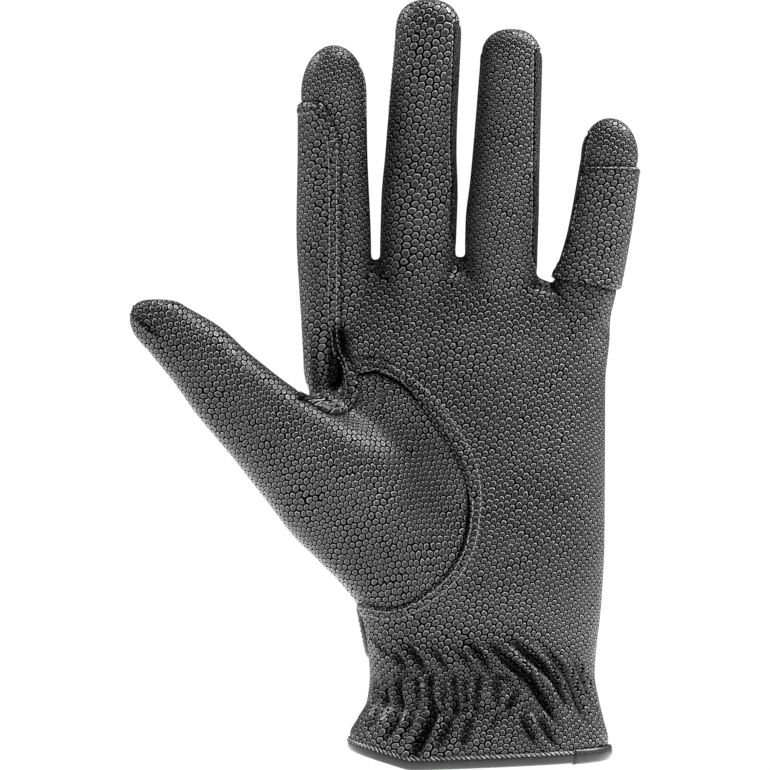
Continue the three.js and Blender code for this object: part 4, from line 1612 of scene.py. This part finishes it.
@dataclass(frozen=True)
class SmoothLeather:
    """Smooth satin leather for the binding and the tab, with fine creases."""

    face: float = 0.008
    roughness: float = 0.34
    depth: float = 0.00012
    gloss: float = 0.28

    def material(self, name: str) -> bpy.types.Material:
        """The finish as a material with the given name.

        Args:
            name: the material's name.

        Returns:
            The material.
        """
        bench = Bench(name)
        place = bench.add("ShaderNodeTexCoord").outputs["Object"]
        fine = bench.noise(place, 2600.0, 3.0, 0.6).outputs["Fac"]
        drawn = bench.vector("MULTIPLY", place, (1.0, 1.0, 0.35))
        crease = bench.noise(drawn, 420.0, 4.0, 0.65).outputs["Fac"]
        height = bench.math("ADD", bench.math("MULTIPLY", fine, 0.35), crease)
        shade = bench.ease(crease, 0.3, 0.7, 0.75, 1.25)
        lit = bench.vector("SCALE", grey(self.face)[:3])
        bench.feed(lit.node.inputs["Scale"], shade)
        roughness = bench.ease(fine, 0.3, 0.7, self.roughness - 0.06, self.roughness + 0.1)
        return bench.finish(lit, roughness, height,
                            self.depth, self.gloss)


@dataclass(frozen=True)
class SewingThread:
    """Twisted polyester thread. Its light grey colour is a painted highlight that makes the dark stitches
    show as bright dashes, and it is painted lighter on the twist's raised bands and darker between them, as
    painted highlight and shade.
    """

    # Painted highlight: a light grey for the thread's colour.
    face: float = 0.110
    roughness: float = 0.4
    depth: float = 0.00006

    def material(self, name: str) -> bpy.types.Material:
        """The finish as a material with the given name.

        Args:
            name: the material's name.

        Returns:
            The material.
        """
        bench = Bench(name)
        place = bench.add("ShaderNodeTexCoord").outputs["Object"]
        twist = bench.add("ShaderNodeTexWave", wave_type="BANDS", bands_direction="DIAGONAL")
        bench.feed(twist.inputs["Vector"], place)
        twist.inputs["Scale"].default_value = 900.0
        twist.inputs["Distortion"].default_value = 1.5
        lay = twist.outputs["Fac"]
        # Painted highlight and shade along the twist: lighter on the raised bands, darker between them.
        colour = bench.mix(lay, grey(self.face * 0.5), grey(self.face * 1.6))
        return bench.finish(colour, self.roughness, lay, self.depth)


# Studio

@dataclass
class Studio:
    """A pale floor, a white backdrop, soft lights, and a long lens straight at the palm."""

    middle: Point2 = (385.0, 385.0)
    frame: float = 770.0
    distance: float = 1.5
    sensor: float = 36.0
    floor_half: float = 1.15
    floor_level: float = -0.10
    backdrop: float = 1.05
    ambient: float = 0.17
    glove: Point3 = (-0.03, 0.0, 0.12)
    lamps: tuple[tuple[str, Point3, float, float], ...] = (
        ("left_light", (-1.15, 0.22, 0.85), 0.5, 40.0),
        ("right_light", (1.1, 0.10, 1.05), 0.4, 64.0),
        ("top_light", (0.40, -0.25, 1.40), 0.3, 56.0))

    def camera(self) -> None:
        """Sets the camera up."""
        data = bpy.data.cameras.new("camera")
        data.sensor_width = self.sensor
        across, up = GLOVE.at_photo([self.middle])[0] * METRES
        view = self.frame * GLOVE.photo_scale * METRES
        data.lens = self.sensor * self.distance / view
        data.clip_end = 20.0
        held = bpy.data.objects.new("camera", data)
        held.location = (across, -self.distance, up)
        held.rotation_euler = (math.radians(90), 0, 0)
        bpy.context.scene.collection.objects.link(held)
        bpy.context.scene.camera = held

    def floor(self) -> None:
        """Lays the pale floor, which ends before the camera would see it behind the glove."""
        half, low = self.floor_half, self.floor_level
        points = [(-half, -half, low), (half, -half, low), (half, half, low), (-half, half, low)]
        mesh = bpy.data.meshes.new("studio_floor")
        mesh.from_pydata(points, [], [(0, 1, 2, 3)])
        bench = Bench("studio_paper")
        place = bench.add("ShaderNodeTexCoord").outputs["Object"]
        fibre = bench.noise(place, 300.0).outputs["Fac"]
        mesh.materials.append(bench.finish(grey(0.92), 0.9, fibre, 0.00005, 0.1))
        floor = bpy.data.objects.new("studio_floor", mesh)
        bpy.context.scene.collection.objects.link(floor)

    def lamp(self, name: str, place: Point3, size: float, power: float) -> None:
        """Adds a soft square light that faces the glove.

        Args:
            name: its name.
            place: where it hangs, in metres.
            size: its width, in metres.
            power: its power, in watts.
        """
        data = bpy.data.lights.new(name, "AREA")
        data.size = size
        data.energy = power
        lamp = bpy.data.objects.new(name, data)
        lamp.location = place
        aim = Vector(self.glove) - Vector(place)
        lamp.rotation_euler = aim.to_track_quat("-Z", "Y").to_euler()
        bpy.context.scene.collection.objects.link(lamp)

    def set_up(self) -> None:
        """Sets up the whole studio."""
        self.camera()
        self.floor()
        for lamp in self.lamps:
            self.lamp(*lamp)
        self.sky()
        bpy.context.scene.view_settings.view_transform = "Standard"

    def sky(self) -> None:
        """Fills the room with a dim even light and puts a white backdrop behind everything."""
        world = bpy.data.worlds.new("studio")
        world.use_nodes = True
        nodes, links = world.node_tree.nodes, world.node_tree.links
        fill = nodes["Background"]
        fill.inputs["Color"].default_value = (1.0, 1.0, 1.0, 1.0)
        fill.inputs["Strength"].default_value = self.ambient
        white = nodes.new("ShaderNodeBackground")
        white.inputs["Color"].default_value = (1.0, 1.0, 1.0, 1.0)
        white.inputs["Strength"].default_value = self.backdrop
        seen, share = nodes.new("ShaderNodeLightPath"), nodes.new("ShaderNodeMixShader")
        links.new(seen.outputs["Is Camera Ray"], share.inputs[0])
        links.new(fill.outputs[0], share.inputs[1])
        links.new(white.outputs[0], share.inputs[2])
        links.new(share.outputs[0], nodes["World Output"].inputs["Surface"])
        bpy.context.scene.world = world


# The glove's pieces

@dataclass
class SewnPanels:
    """The panels that the glove is sewn from."""

    skin: Skin
    relief: Relief
    unroll: Unroll
    names: tuple[tuple[Panel, str, str, str], ...] = (
        (Panel.PALM, "palm_leather", "palm_panel", "grained_leather"),
        (Panel.BACK, "back_leather", "back_panel", "grained_leather"),
        (Panel.THUMB, "thumb_leather", "thumb", "grained_leather"),
        (Panel.INDEX_MIDDLE, "strip_index_middle", "fourchette_index_middle", "strip_leather"),
        (Panel.MIDDLE_RING, "strip_middle_ring", "fourchette_middle_ring", "strip_leather"),
        (Panel.RING_LITTLE, "strip_ring_little", "fourchette_ring_little", "strip_leather"))

    def build(self) -> None:
        """Builds every panel as a thin shell and dresses it."""
        finishes = {
            "grained_leather": GrainedLeather().material("grained_leather"),
            "strip_leather": GrainedLeather(cell=1.7, face=0.013, rim=0.09,
                                            turn=40.0).material("strip_leather"),
        }
        for panel, name, node, slot in self.names:
            chosen = self.skin.faces[self.skin.labels == panel]
            used, flat = np.unique(chosen, return_inverse=True)
            faces = flat.reshape(chosen.shape)
            outer, normals = self.relief.points[used], self.skin.normals[used]
            points, walls = shell(outer, outer - normals * GLOVE.wall, faces)
            base = np.vstack([self.skin.points[used]] * 2)
            grain = self.unroll.coordinates(panel, base, walls)
            shade = np.tile(self.relief.shade[used], 2)
            data = MeshData(points, [walls], grain, shade)
            piece = data.object(name, finishes[slot])
            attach(piece, "root")
            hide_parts(node)
            LOG.info("%s: %d triangles", name, data.triangles())


@dataclass
class Surface:
    """A surface that stitches are set on."""

    points: Array
    faces: Ints
    tree: BVHTree = field(init=False)

    def __post_init__(self) -> None:
        """Makes the surface searchable."""
        self.tree = BVHTree.FromPolygons(self.points.tolist(), self.faces.tolist())

    def touch(self, spots: Array) -> tuple[Array, Array]:
        """The nearest place on the surface to each spot, and the direction out of it."""
        found = [self.tree.find_nearest(Vector(spot)) for spot in spots]
        return np.array([hit[0] for hit in found]), np.array([hit[1] for hit in found])


def even_line(points: Array, step: float, closed: bool) -> Array:
    """Walks along a line in even steps.

    Args:
        points: the line's points.
        step: the length of a step.
        closed: whether the line closes.

    Returns:
        The points walked to.
    """
    path = np.vstack([points, points[:1]]) if closed else points
    lengths = np.concatenate([[0.0], np.cumsum(np.linalg.norm(np.diff(path, axis=0), axis=1))])
    count = max(2, int(round(lengths[-1] / step)))
    places = np.linspace(0, lengths[-1], count + (0 if closed else 1), endpoint=not closed)
    return np.column_stack([np.interp(places, lengths, path[:, i]) for i in range(3)])


def calm(points: Array, rounds: int, closed: bool) -> Array:
    """Smooths a line by averaging each point with its neighbours.

    Args:
        points: the points.
        rounds: how many times.
        closed: whether it joins up.

    Returns:
        The smoother line.
    """
    line = points.copy()
    for _ in range(rounds):
        before, after = np.roll(line, 1, axis=0), np.roll(line, -1, axis=0)
        fresh = 0.5 * line + 0.25 * (before + after)
        if not closed:
            fresh[0], fresh[-1] = line[0], line[-1]
        line = fresh
    return line


def tangents(points: Array, closed: bool) -> Array:
    """The direction of a line at each of its points.

    Args:
        points: the points.
        closed: whether it joins up.

    Returns:
        One unit vector for each point.
    """
    ahead = np.roll(points, -1, axis=0) - np.roll(points, 1, axis=0)
    if not closed:
        ahead[0], ahead[-1] = points[1] - points[0], points[-1] - points[-2]
    return ahead / np.maximum(np.linalg.norm(ahead, axis=1), 1e-9)[:, None]


@dataclass
class Stitching:
    """Rows of thread stitches, made as one mesh."""

    length: float = 1.30
    pitch: float = 1.75
    thick: float = 0.21
    sides: int = 6
    slant: float = 0.0
    web_top: float = 0.0
    web_side: float = -50.0
    sink: tuple[float, ...] = (-0.5, 0.25, 0.5, 0.25, -0.5)
    girth: tuple[float, ...] = (0.7, 1.0, 1.05, 1.0, 0.7)
    points: list[Array] = field(default_factory=list)
    quads: list[Ints] = field(default_factory=list)
    ends: list[Ints] = field(default_factory=list)
    count: int = 0

    def row(self, line: Array, surface: Surface, closed: bool = False) -> None:
        """Sews a row of stitches along a line.

        Args:
            line: the line's points, close to the surface.
            surface: the surface to sew on.
            closed: whether the line closes.
        """
        middles = even_line(line, self.pitch, closed)
        middles = middles[~((middles[:, 2] < self.web_top) & (middles[:, 0] < self.web_side))]
        spots, normals = surface.touch(middles)
        ahead = tangents(spots, closed)
        ahead -= (ahead * normals).sum(axis=1)[:, None] * normals
        ahead /= np.maximum(np.linalg.norm(ahead, axis=1), 1e-9)[:, None]
        side = np.cross(normals, ahead)
        turned = math.cos(self.slant) * ahead + math.sin(self.slant) * side
        self.add(spots, normals, turned)

    def add(self, spots: Array, normals: Array, ahead: Array) -> None:
        """Adds one stitch at each spot.

        Args:
            spots: the stitches' middles on the surface.
            normals: the directions out of the surface.
            ahead: the stitches' own directions.
        """
        side = np.cross(normals, ahead)
        places = np.linspace(-0.5, 0.5, len(self.sink)) * self.length
        angles = 2 * np.pi * np.arange(self.sides) / self.sides
        rings = len(self.sink)
        for spot, normal, along, across in zip(spots, normals, ahead, side):
            stitch = []
            for place, drop, girth in zip(places, self.sink, self.girth):
                centre = spot + along * place + normal * drop * self.thick
                out = np.cos(angles)[:, None] * normal + np.sin(angles)[:, None] * across
                stitch.append(centre + out * girth * self.thick)
            base = self.count
            self.points.append(np.vstack(stitch))
            i = np.arange(self.sides)
            j = (i + 1) % self.sides
            for ring in range(rings - 1):
                low, high = base + ring * self.sides, base + (ring + 1) * self.sides
                self.quads.append(np.column_stack([low + i, low + j, high + j, high + i]))
            last = base + (rings - 1) * self.sides
            self.ends.append(np.array([base + i[::-1], last + i]))
            self.count += rings * self.sides

    def build(self, name: str, material: bpy.types.Material, slot: str) -> None:
        """Makes the piece.

        Args:
            name: the piece's name.
            material: the thread.
            slot: the record's slot that the thread belongs to; not used.
        """
        data = MeshData(np.vstack(self.points), [np.vstack(self.quads), np.vstack(self.ends)])
        piece = data.object(name, material)
        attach(piece, "root")
        LOG.info("%s: %d stitches, %d triangles", name, len(self.points), data.triangles())


@dataclass
class Layer:
    """A second layer of leather laid on the skin inside an outline, with a turned edge."""

    skin: Skin
    relief: Relief
    level: Callable[[Array], Array]
    thickness: float = 1.0
    gap: float = 0.1
    edge: float = 0.9
    rim_height: float = 0.0
    rim_place: float = 1.0
    rim_width: float = 0.8
    rows: tuple[float, ...] = ()
    web_thin: float = 0.0
    web_out: Point2 = (47.0, 54.0)
    web_down: Point2 = (-126.0, -118.0)
    base: Array = field(init=False)
    outer: Array = field(init=False)
    shade: Array = field(init=False)
    faces: Ints = field(init=False)
    border: list[int] = field(init=False)

    def shape(self) -> tuple[Array, Ints]:
        """Cuts the layer out of the skin and gives it its thickness.

        Returns:
            All points and faces.
        """
        form = self.skin.form
        sewn = self.skin.labels != Panel.BELOW
        centres = self.skin.points[self.skin.faces].mean(axis=1)
        chosen = self.skin.faces[sewn & (self.level(centres) < 0)]
        used, flat = np.unique(chosen, return_inverse=True)
        self.faces = flat.reshape(chosen.shape)
        points, normals = self.skin.points[used].copy(), self.skin.normals[used]
        rim = np.unique(border_edges(self.faces))
        for _ in range(3):
            here = self.level(points[rim])
            lean = form.slope(points[rim], self.level, here)
            lean -= (lean * normals[rim]).sum(axis=1)[:, None] * normals[rim]
            move = -lean * (here / np.maximum((lean ** 2).sum(axis=1), 0.04))[:, None]
            size = np.linalg.norm(move, axis=1)
            move *= np.minimum(1.0, 0.7 / np.maximum(size, 1e-9))[:, None]
            points[rim] = form.settle(points[rim] + move, 1)[0]
        self.base = points
        lift = (self.relief.folded - self.skin.points)[used]
        tree = tree_of(points[rim])
        away = np.array([tree.find(point)[2] for point in points])
        self.border = chain(border_edges(self.faces))[0]
        share = np.clip(away / self.edge, 0.0, 1.0)
        height = self.gap + self.thickness * np.sqrt(1 - (1 - share) ** 2)
        height += self.rim_height * bump(away - self.rim_place, self.rim_width) * share
        # Painted shade at the layer's edge and in the folds' valleys.
        self.shade = np.maximum(0.5 * bump(away, 0.5), ramp(self.relief.hollow[used], 0.3, 1.6))
        # Each row of stitches sinks the layer a little and has painted shade along it.
        for row in self.rows:
            height -= 0.15 * bump(away - row, 0.45)
            self.shade = np.maximum(self.shade, 0.8 * bump(away - row, 0.55))
        thinned = self.web_thin * ramp(-points[:, 0], *self.web_out)
        height *= 1 - thinned * ramp(-points[:, 2], *self.web_down)
        self.outer = points + lift + normals * height[:, None]
        return shell(self.outer, points + lift + normals * (self.gap * 0.5), self.faces)

    def inset(self, distance: float) -> Array:
        """A line inside the layer's edge at the given distance from it.

        Args:
            distance: how far, in millimetres.

        Returns:
            The line's points.
        """
        closed = np.array(self.border[:-1] if self.border[0] == self.border[-1] else self.border)
        line = calm(self.outer[closed], 4, True)
        ahead = tangents(line, True)
        normals = self.skin.form.settle(line, 1)[1]
        inward = np.cross(normals, ahead)
        if self.level(line + inward).mean() > self.level(line - inward).mean():
            inward = -inward
        return calm(line + inward * distance, 3, True)


@dataclass
class IndexPatch:
    """The second layer on the outer side of the index finger, down to the web of the thumb."""

    seams: Seams
    on_finger: tuple[Point2, ...] = (
        (-0.9, 0.80), (-0.565, 0.81), (-0.499, 0.805), (-0.460, 0.74), (-0.439, 0.66), (-0.434, 0.40))
    on_hand: tuple[Point2, ...] = (
        (-0.436, 0.617), (-0.433, 0.552), (-0.398, 0.524), (-0.376, 0.495), (-0.405, 0.468), (-0.464, 0.462),
        (-0.540, 0.480), (-0.9, 0.485))
    outer_side: float = -0.563
    finger_side: float = 0.06
    side_change: Point2 = (135.0, 145.0)

    def level(self, points: Array) -> Array:
        """Below zero inside the patch.

        Args:
            points: the points.

        Returns:
            The level.
        """
        finger = self.seams.form.fingers["index"]
        root = GLOVE.finger_root * GLOVE.length
        upper = np.asarray(self.on_finger) * np.array([GLOVE.width, finger.length]) + np.array([0.0, root])
        path = np.vstack([upper, self.seams.shares(self.on_hand)])
        outline = np.vstack([path[:1], smooth_path(path[1:-1], 5), path[-1:]])
        flat = outline_distance(points[:, [0, 2]], outline)
        side = self.outer_side - self.finger_side * ramp(points[:, 2], *self.side_change)
        return np.maximum(flat, side * GLOVE.width - points[:, 0])


@dataclass
class LittlePatch:
    """The second layer round the palm side of the little finger."""

    seams: Seams
    outline: tuple[Point2, ...] = (
        (0.20, 0.305), (0.275, 0.285), (0.395, 0.250), (0.60, 0.240), (0.60, 0.785), (0.25, 0.785))
    wrap: float = 0.12
    strip_room: float = 0.5

    def level(self, points: Array) -> Array:
        """Below zero inside the patch.

        Args:
            points: the points.

        Returns:
            The level.
        """
        finger = self.seams.form.fingers["little"]
        root = GLOVE.finger_root * GLOVE.length
        scale = np.array([GLOVE.width, finger.length])
        corners = np.asarray(self.outline) * scale + np.array([0.0, root])
        flat = outline_distance(points[:, [0, 2]], corners)
        round_back = points[:, 1] - GLOVE.curl(points[:, 2]) - self.wrap * GLOVE.depth
        strip = self.strip_room - self.seams.strip_level(points, *self.seams.strips[2][1:])
        beside = GLOVE.width * 0.2 - points[:, 0]
        return np.maximum.reduce([flat, round_back, strip, beside])


@dataclass
class ClosureTab:
    """The tab across the back of the wrist, whose round end turns the edge on the thumb's side."""

    form: Form
    width: float = 20.0
    reach: float = 48.0
    up: float = 0.177
    turned: float = 0.06
    corner: float = 3.0

    def level(self, points: Array) -> Array:
        """Below zero inside the tab.

        Args:
            points: the points.

        Returns:
            The level.
        """
        radius = self.width / 2
        centre = self.up * GLOVE.length
        middle = radius - self.turned * GLOVE.depth
        across = points[:, 2] - centre
        past_middle = np.hypot(points[:, 1] - middle, across)
        round_end = np.where(points[:, 1] < middle, past_middle, np.abs(across)) - radius
        left = self.form.hand.profile.read("left", np.array([centre]))[0]
        square_end = points[:, 0] - (left + self.reach)
        inner = np.maximum(np.stack([round_end, square_end]) + self.corner, 0.0)
        within = np.minimum(np.maximum(round_end, square_end) + self.corner, 0)
        return np.linalg.norm(inner, axis=0) - self.corner + within


@dataclass
class HemBinding:
    """The smooth strip folded over the cuff's hem, with its slanted stitches and the overlap of its ends."""

    skin: Skin
    relief: Relief
    step: float = 1.0
    section: tuple[Point2, ...] = (
        (0.30, 2.85), (0.80, 2.90), (1.05, 2.30), (1.10, 1.20), (1.05, 0.20), (0.85, -0.60), (0.20, -1.10),
        (-0.75, -1.22), (-1.70, -1.10), (-2.35, -0.60), (-2.60, 0.20), (-2.60, 1.20), (-2.55, 2.30),
        (-2.30, 2.90), (-1.80, 2.85), (-1.72, 0.60), (-1.45, -0.10), (-0.75, -0.20), (-0.05, -0.10),
        (0.22, 0.60))
    overlap_from: float = 28.0
    overlap_to: float = 41.0
    overlap_proud: float = 0.4
    outer: Surface = field(init=False)
    line: Array = field(init=False)
    out: Array = field(init=False)
    rise: Array = field(init=False)

    def follow(self) -> None:
        """Finds the hem's line and the directions across it."""
        reach, labels, faces = self.skin.reach, self.skin.labels, self.skin.faces
        above = faces[labels != Panel.BELOW]
        edges = border_edges(above)
        low = (reach[edges[:, 0], 0] == Panel.BELOW) & (reach[edges[:, 1], 0] == Panel.BELOW)
        loop = chain(edges[low])[0][:-1]
        self.line = even_line(calm(self.skin.points[loop], 3, True), self.step, True)
        ahead = tangents(self.line, True)
        normals = self.skin.form.settle(self.line, 1)[1]
        self.out = normals - (normals * ahead).sum(axis=1)[:, None] * ahead
        self.out /= np.linalg.norm(self.out, axis=1)[:, None]
        self.rise = np.cross(ahead, self.out)
        self.rise *= np.sign(self.rise[:, 2])[:, None]
        self.out = calm(self.out, 2, True)
        self.rise = calm(self.rise, 2, True)

    def sweep(self, chosen: Ints, proud: float, closed: bool) -> MeshData:
        """Sweeps the section along part of the hem.

        Args:
            chosen: the line's points to follow.
            proud: how much larger the section is.
            closed: whether the sweep closes.

        Returns:
            The mesh.
        """
        shape = np.asarray(self.section)
        middle = shape.mean(axis=0)
        away = shape - middle
        shape = shape + proud * away / np.linalg.norm(away, axis=1)[:, None]
        points = [self.line[i] + np.outer(shape[:, 0], self.out[i]) + np.outer(shape[:, 1], self.rise[i])
                  for i in chosen]
        size, count = len(shape), len(chosen)
        i = np.arange(size)
        j = (i + 1) % size
        quads = []
        for k in range(count if closed else count - 1):
            low, high = k * size, ((k + 1) % count) * size
            quads.append(np.column_stack([low + i, low + j, high + j, high + i]))
        faces = [np.vstack(quads)]
        if not closed:
            faces.append(np.array([i[::-1], (count - 1) * size + i]))
        return MeshData(np.vstack(points), faces)

    def build(self, leather: bpy.types.Material, thread: bpy.types.Material) -> None:
        """Builds the binding, its overlap and its stitches.

        Args:
            leather: the binding's leather.
            thread: the thread.
        """
        self.follow()
        whole = self.sweep(np.arange(len(self.line)), 0.0, True)
        piece = whole.object("hem_strip", leather)
        on_palm = self.out[:, 1] < 0
        x = self.line[:, 0]
        lap = np.flatnonzero(on_palm & (x > self.overlap_from) & (x < self.overlap_to))
        lap = lap[np.argsort(x[lap])]
        over = self.sweep(lap, self.overlap_proud, False)
        joint = over.object("hem_overlap", leather)
        for made in (piece, joint):
            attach(made, "root")
        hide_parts("hem_binding")
        stitches = Stitching(length=1.9, pitch=1.55, thick=0.24, slant=0.6)
        stitch_line = self.line + 1.0 * self.out + 2.45 * self.rise
        stitches.row(stitch_line, Surface(whole.points, whole.faces[0]), True)
        stitches.build("hem_stitches", thread, "binding_leather")
        LOG.info("hem_strip: %d triangles", whole.triangles() + over.triangles())


@dataclass
class Trim:
    """What is laid on and sewn to the panels: patches, tab, binding and every row of stitches."""

    skin: Skin
    relief: Relief
    seams: Seams
    unroll: Unroll
    crotch_room: float = 3.6

    def build(self) -> None:
        """Builds all of it."""
        thread = SewingThread().material("sewing_thread")
        patch_leather = GrainedLeather(cell=2.15, face=0.017).material("patch_leather")
        tab_leather = SmoothLeather(face=0.020, roughness=0.42).material("tab_leather")
        binding_leather = SmoothLeather().material("binding_leather")
        index = Layer(self.skin, self.relief, IndexPatch(self.seams).level, rim_height=0.35, rim_place=2.5,
                      rim_width=1.0, rows=(1.5, 3.5), web_thin=0.75)
        self.lay("index_patch_leather", "index_patch", "patch_leather", index, patch_leather, True)
        little = Layer(self.skin, self.relief, LittlePatch(self.seams).level, rim_height=0.2, rows=(1.3,))
        self.lay("little_patch_leather", "little_patch", "patch_leather", little, patch_leather, False)
        tab = Layer(self.skin, self.relief, ClosureTab(self.skin.form).level, thickness=0.9, rows=(1.8,))
        self.lay("tab_leather", "closure_tab", "tab_leather", tab, tab_leather, True)
        sewing = Stitching(web_top=120.0)
        for layer in (index, little, tab):
            surface = Surface(layer.outer, layer.faces)
            for distance in layer.rows:
                sewing.row(layer.inset(distance), surface, True)
        sewing.build("patch_stitches", thread, "patch_leather")
        self.sew_seams(thread)
        HemBinding(self.skin, self.relief).build(binding_leather, thread)

    def lay(self, name: str, node: str, slot: str, layer: Layer, leather: bpy.types.Material,
            past_left: bool) -> None:
        """Builds one layer as a piece.

        Args:
            name: the piece's name.
            node: the solid that it stands for.
            slot: the record's slot; not used.
            layer: the layer.
            leather: its material.
            past_left: whether it turns round the thumb's side.
        """
        points, faces = layer.shape()
        base = np.vstack([layer.base] * 2)
        grain = self.unroll.coordinates(Panel.PALM, base, faces, past_left)
        shade = np.tile(layer.shade, 2)
        data = MeshData(points, [faces], grain, shade)
        piece = data.object(name, leather)
        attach(piece, "root")
        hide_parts(node)
        LOG.info("%s: %d triangles", name, data.triangles())

    def sew_seams(self, thread: bpy.types.Material) -> None:
        """Sews the rows beside the thumb's seam and the finger strips.

        Args:
            thread: the thread's material.
        """
        surface = Surface(self.relief.points, self.skin.faces)
        sewing = Stitching()
        strips = [strip[0] for strip in self.seams.strips]
        plans = [(Panel.THUMB, Panel.PALM, (1.3, 3.4)), (Panel.THUMB, Panel.BACK, (1.3,))]
        plans += [(strip, side, (1.0,)) for strip in strips for side in (Panel.PALM, Panel.BACK)]
        for one, other, rows in plans:
            for run in self.runs(one, other):
                line = calm(self.skin.points[run], 4, False)
                if one in strips:
                    left, right = self.seams.strips[strips.index(one)][1:3]
                    aside = np.abs(line[:, 0] - self.seams.between(left, right, line[:, 2]))
                    line = line[aside > self.crotch_room]
                if len(line) < 8:
                    continue
                for distance in rows:
                    sewing.row(self.beside(line, other, distance), surface)
        sewing.build("seam_stitches", thread, "grained_leather")

    def runs(self, one: Panel, other: Panel) -> list[list[int]]:
        """The runs of skin points between two panels, leaving out short scraps.

        Args:
            one: the first panel.
            other: the second panel.

        Returns:
            The runs.
        """
        first = border_edges(self.skin.faces[self.skin.labels == one])
        second = border_edges(self.skin.faces[self.skin.labels == other])
        sets = [{tuple(sorted(edge)) for edge in edges.tolist()} for edges in (first, second)]
        shared = sets[0] & sets[1]
        edges = np.array(sorted(shared), dtype=np.int64).reshape(-1, 2)
        return [run for run in chain(edges) if len(run) > 12]

    def beside(self, line: Array, panel: Panel, distance: float) -> Array:
        """A line beside a seam, on the given panel's side.

        Args:
            line: the seam.
            panel: the panel to lie on.
            distance: how far, in millimetres.

        Returns:
            The line.
        """
        ahead = tangents(line, False)
        normals = self.skin.form.settle(line, 1)[1]
        side = np.cross(normals, ahead)
        hits = [float((self.seams.label(line + sign * side) == panel).mean()) for sign in (1.0, -1.0)]
        sign = 1.0 if hits[0] >= hits[1] else -1.0
        return calm(line + sign * distance * side, 2, False)


def main() -> None:
    """Builds the glove piece by piece and sets up the studio."""
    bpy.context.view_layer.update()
    started = time.time()
    form = Form()
    skin = Skin(form)
    skin.weave_net()
    skin.points, skin.normals = form.settle(skin.points, 3)
    skin.relax(6)
    seams = Seams(form)
    seams.cut(skin)
    LOG.info("skin: %d faces after %.1f s", len(skin.faces), time.time() - started)
    trims = (IndexPatch(seams).level, LittlePatch(seams).level, ClosureTab(form).level)
    relief = Relief(skin, seams, trims=trims)
    relief.apply()
    LOG.info("relief after %.1f s", time.time() - started)
    unroll = Unroll(form)
    SewnPanels(skin, relief, unroll).build()
    Trim(skin, relief, seams, unroll).build()
    Studio().set_up()
    LOG.info("all built after %.1f s", time.time() - started)


if __name__ == "__main__":
    logging.basicConfig(level=logging.INFO, format="%(message)s")
    main()
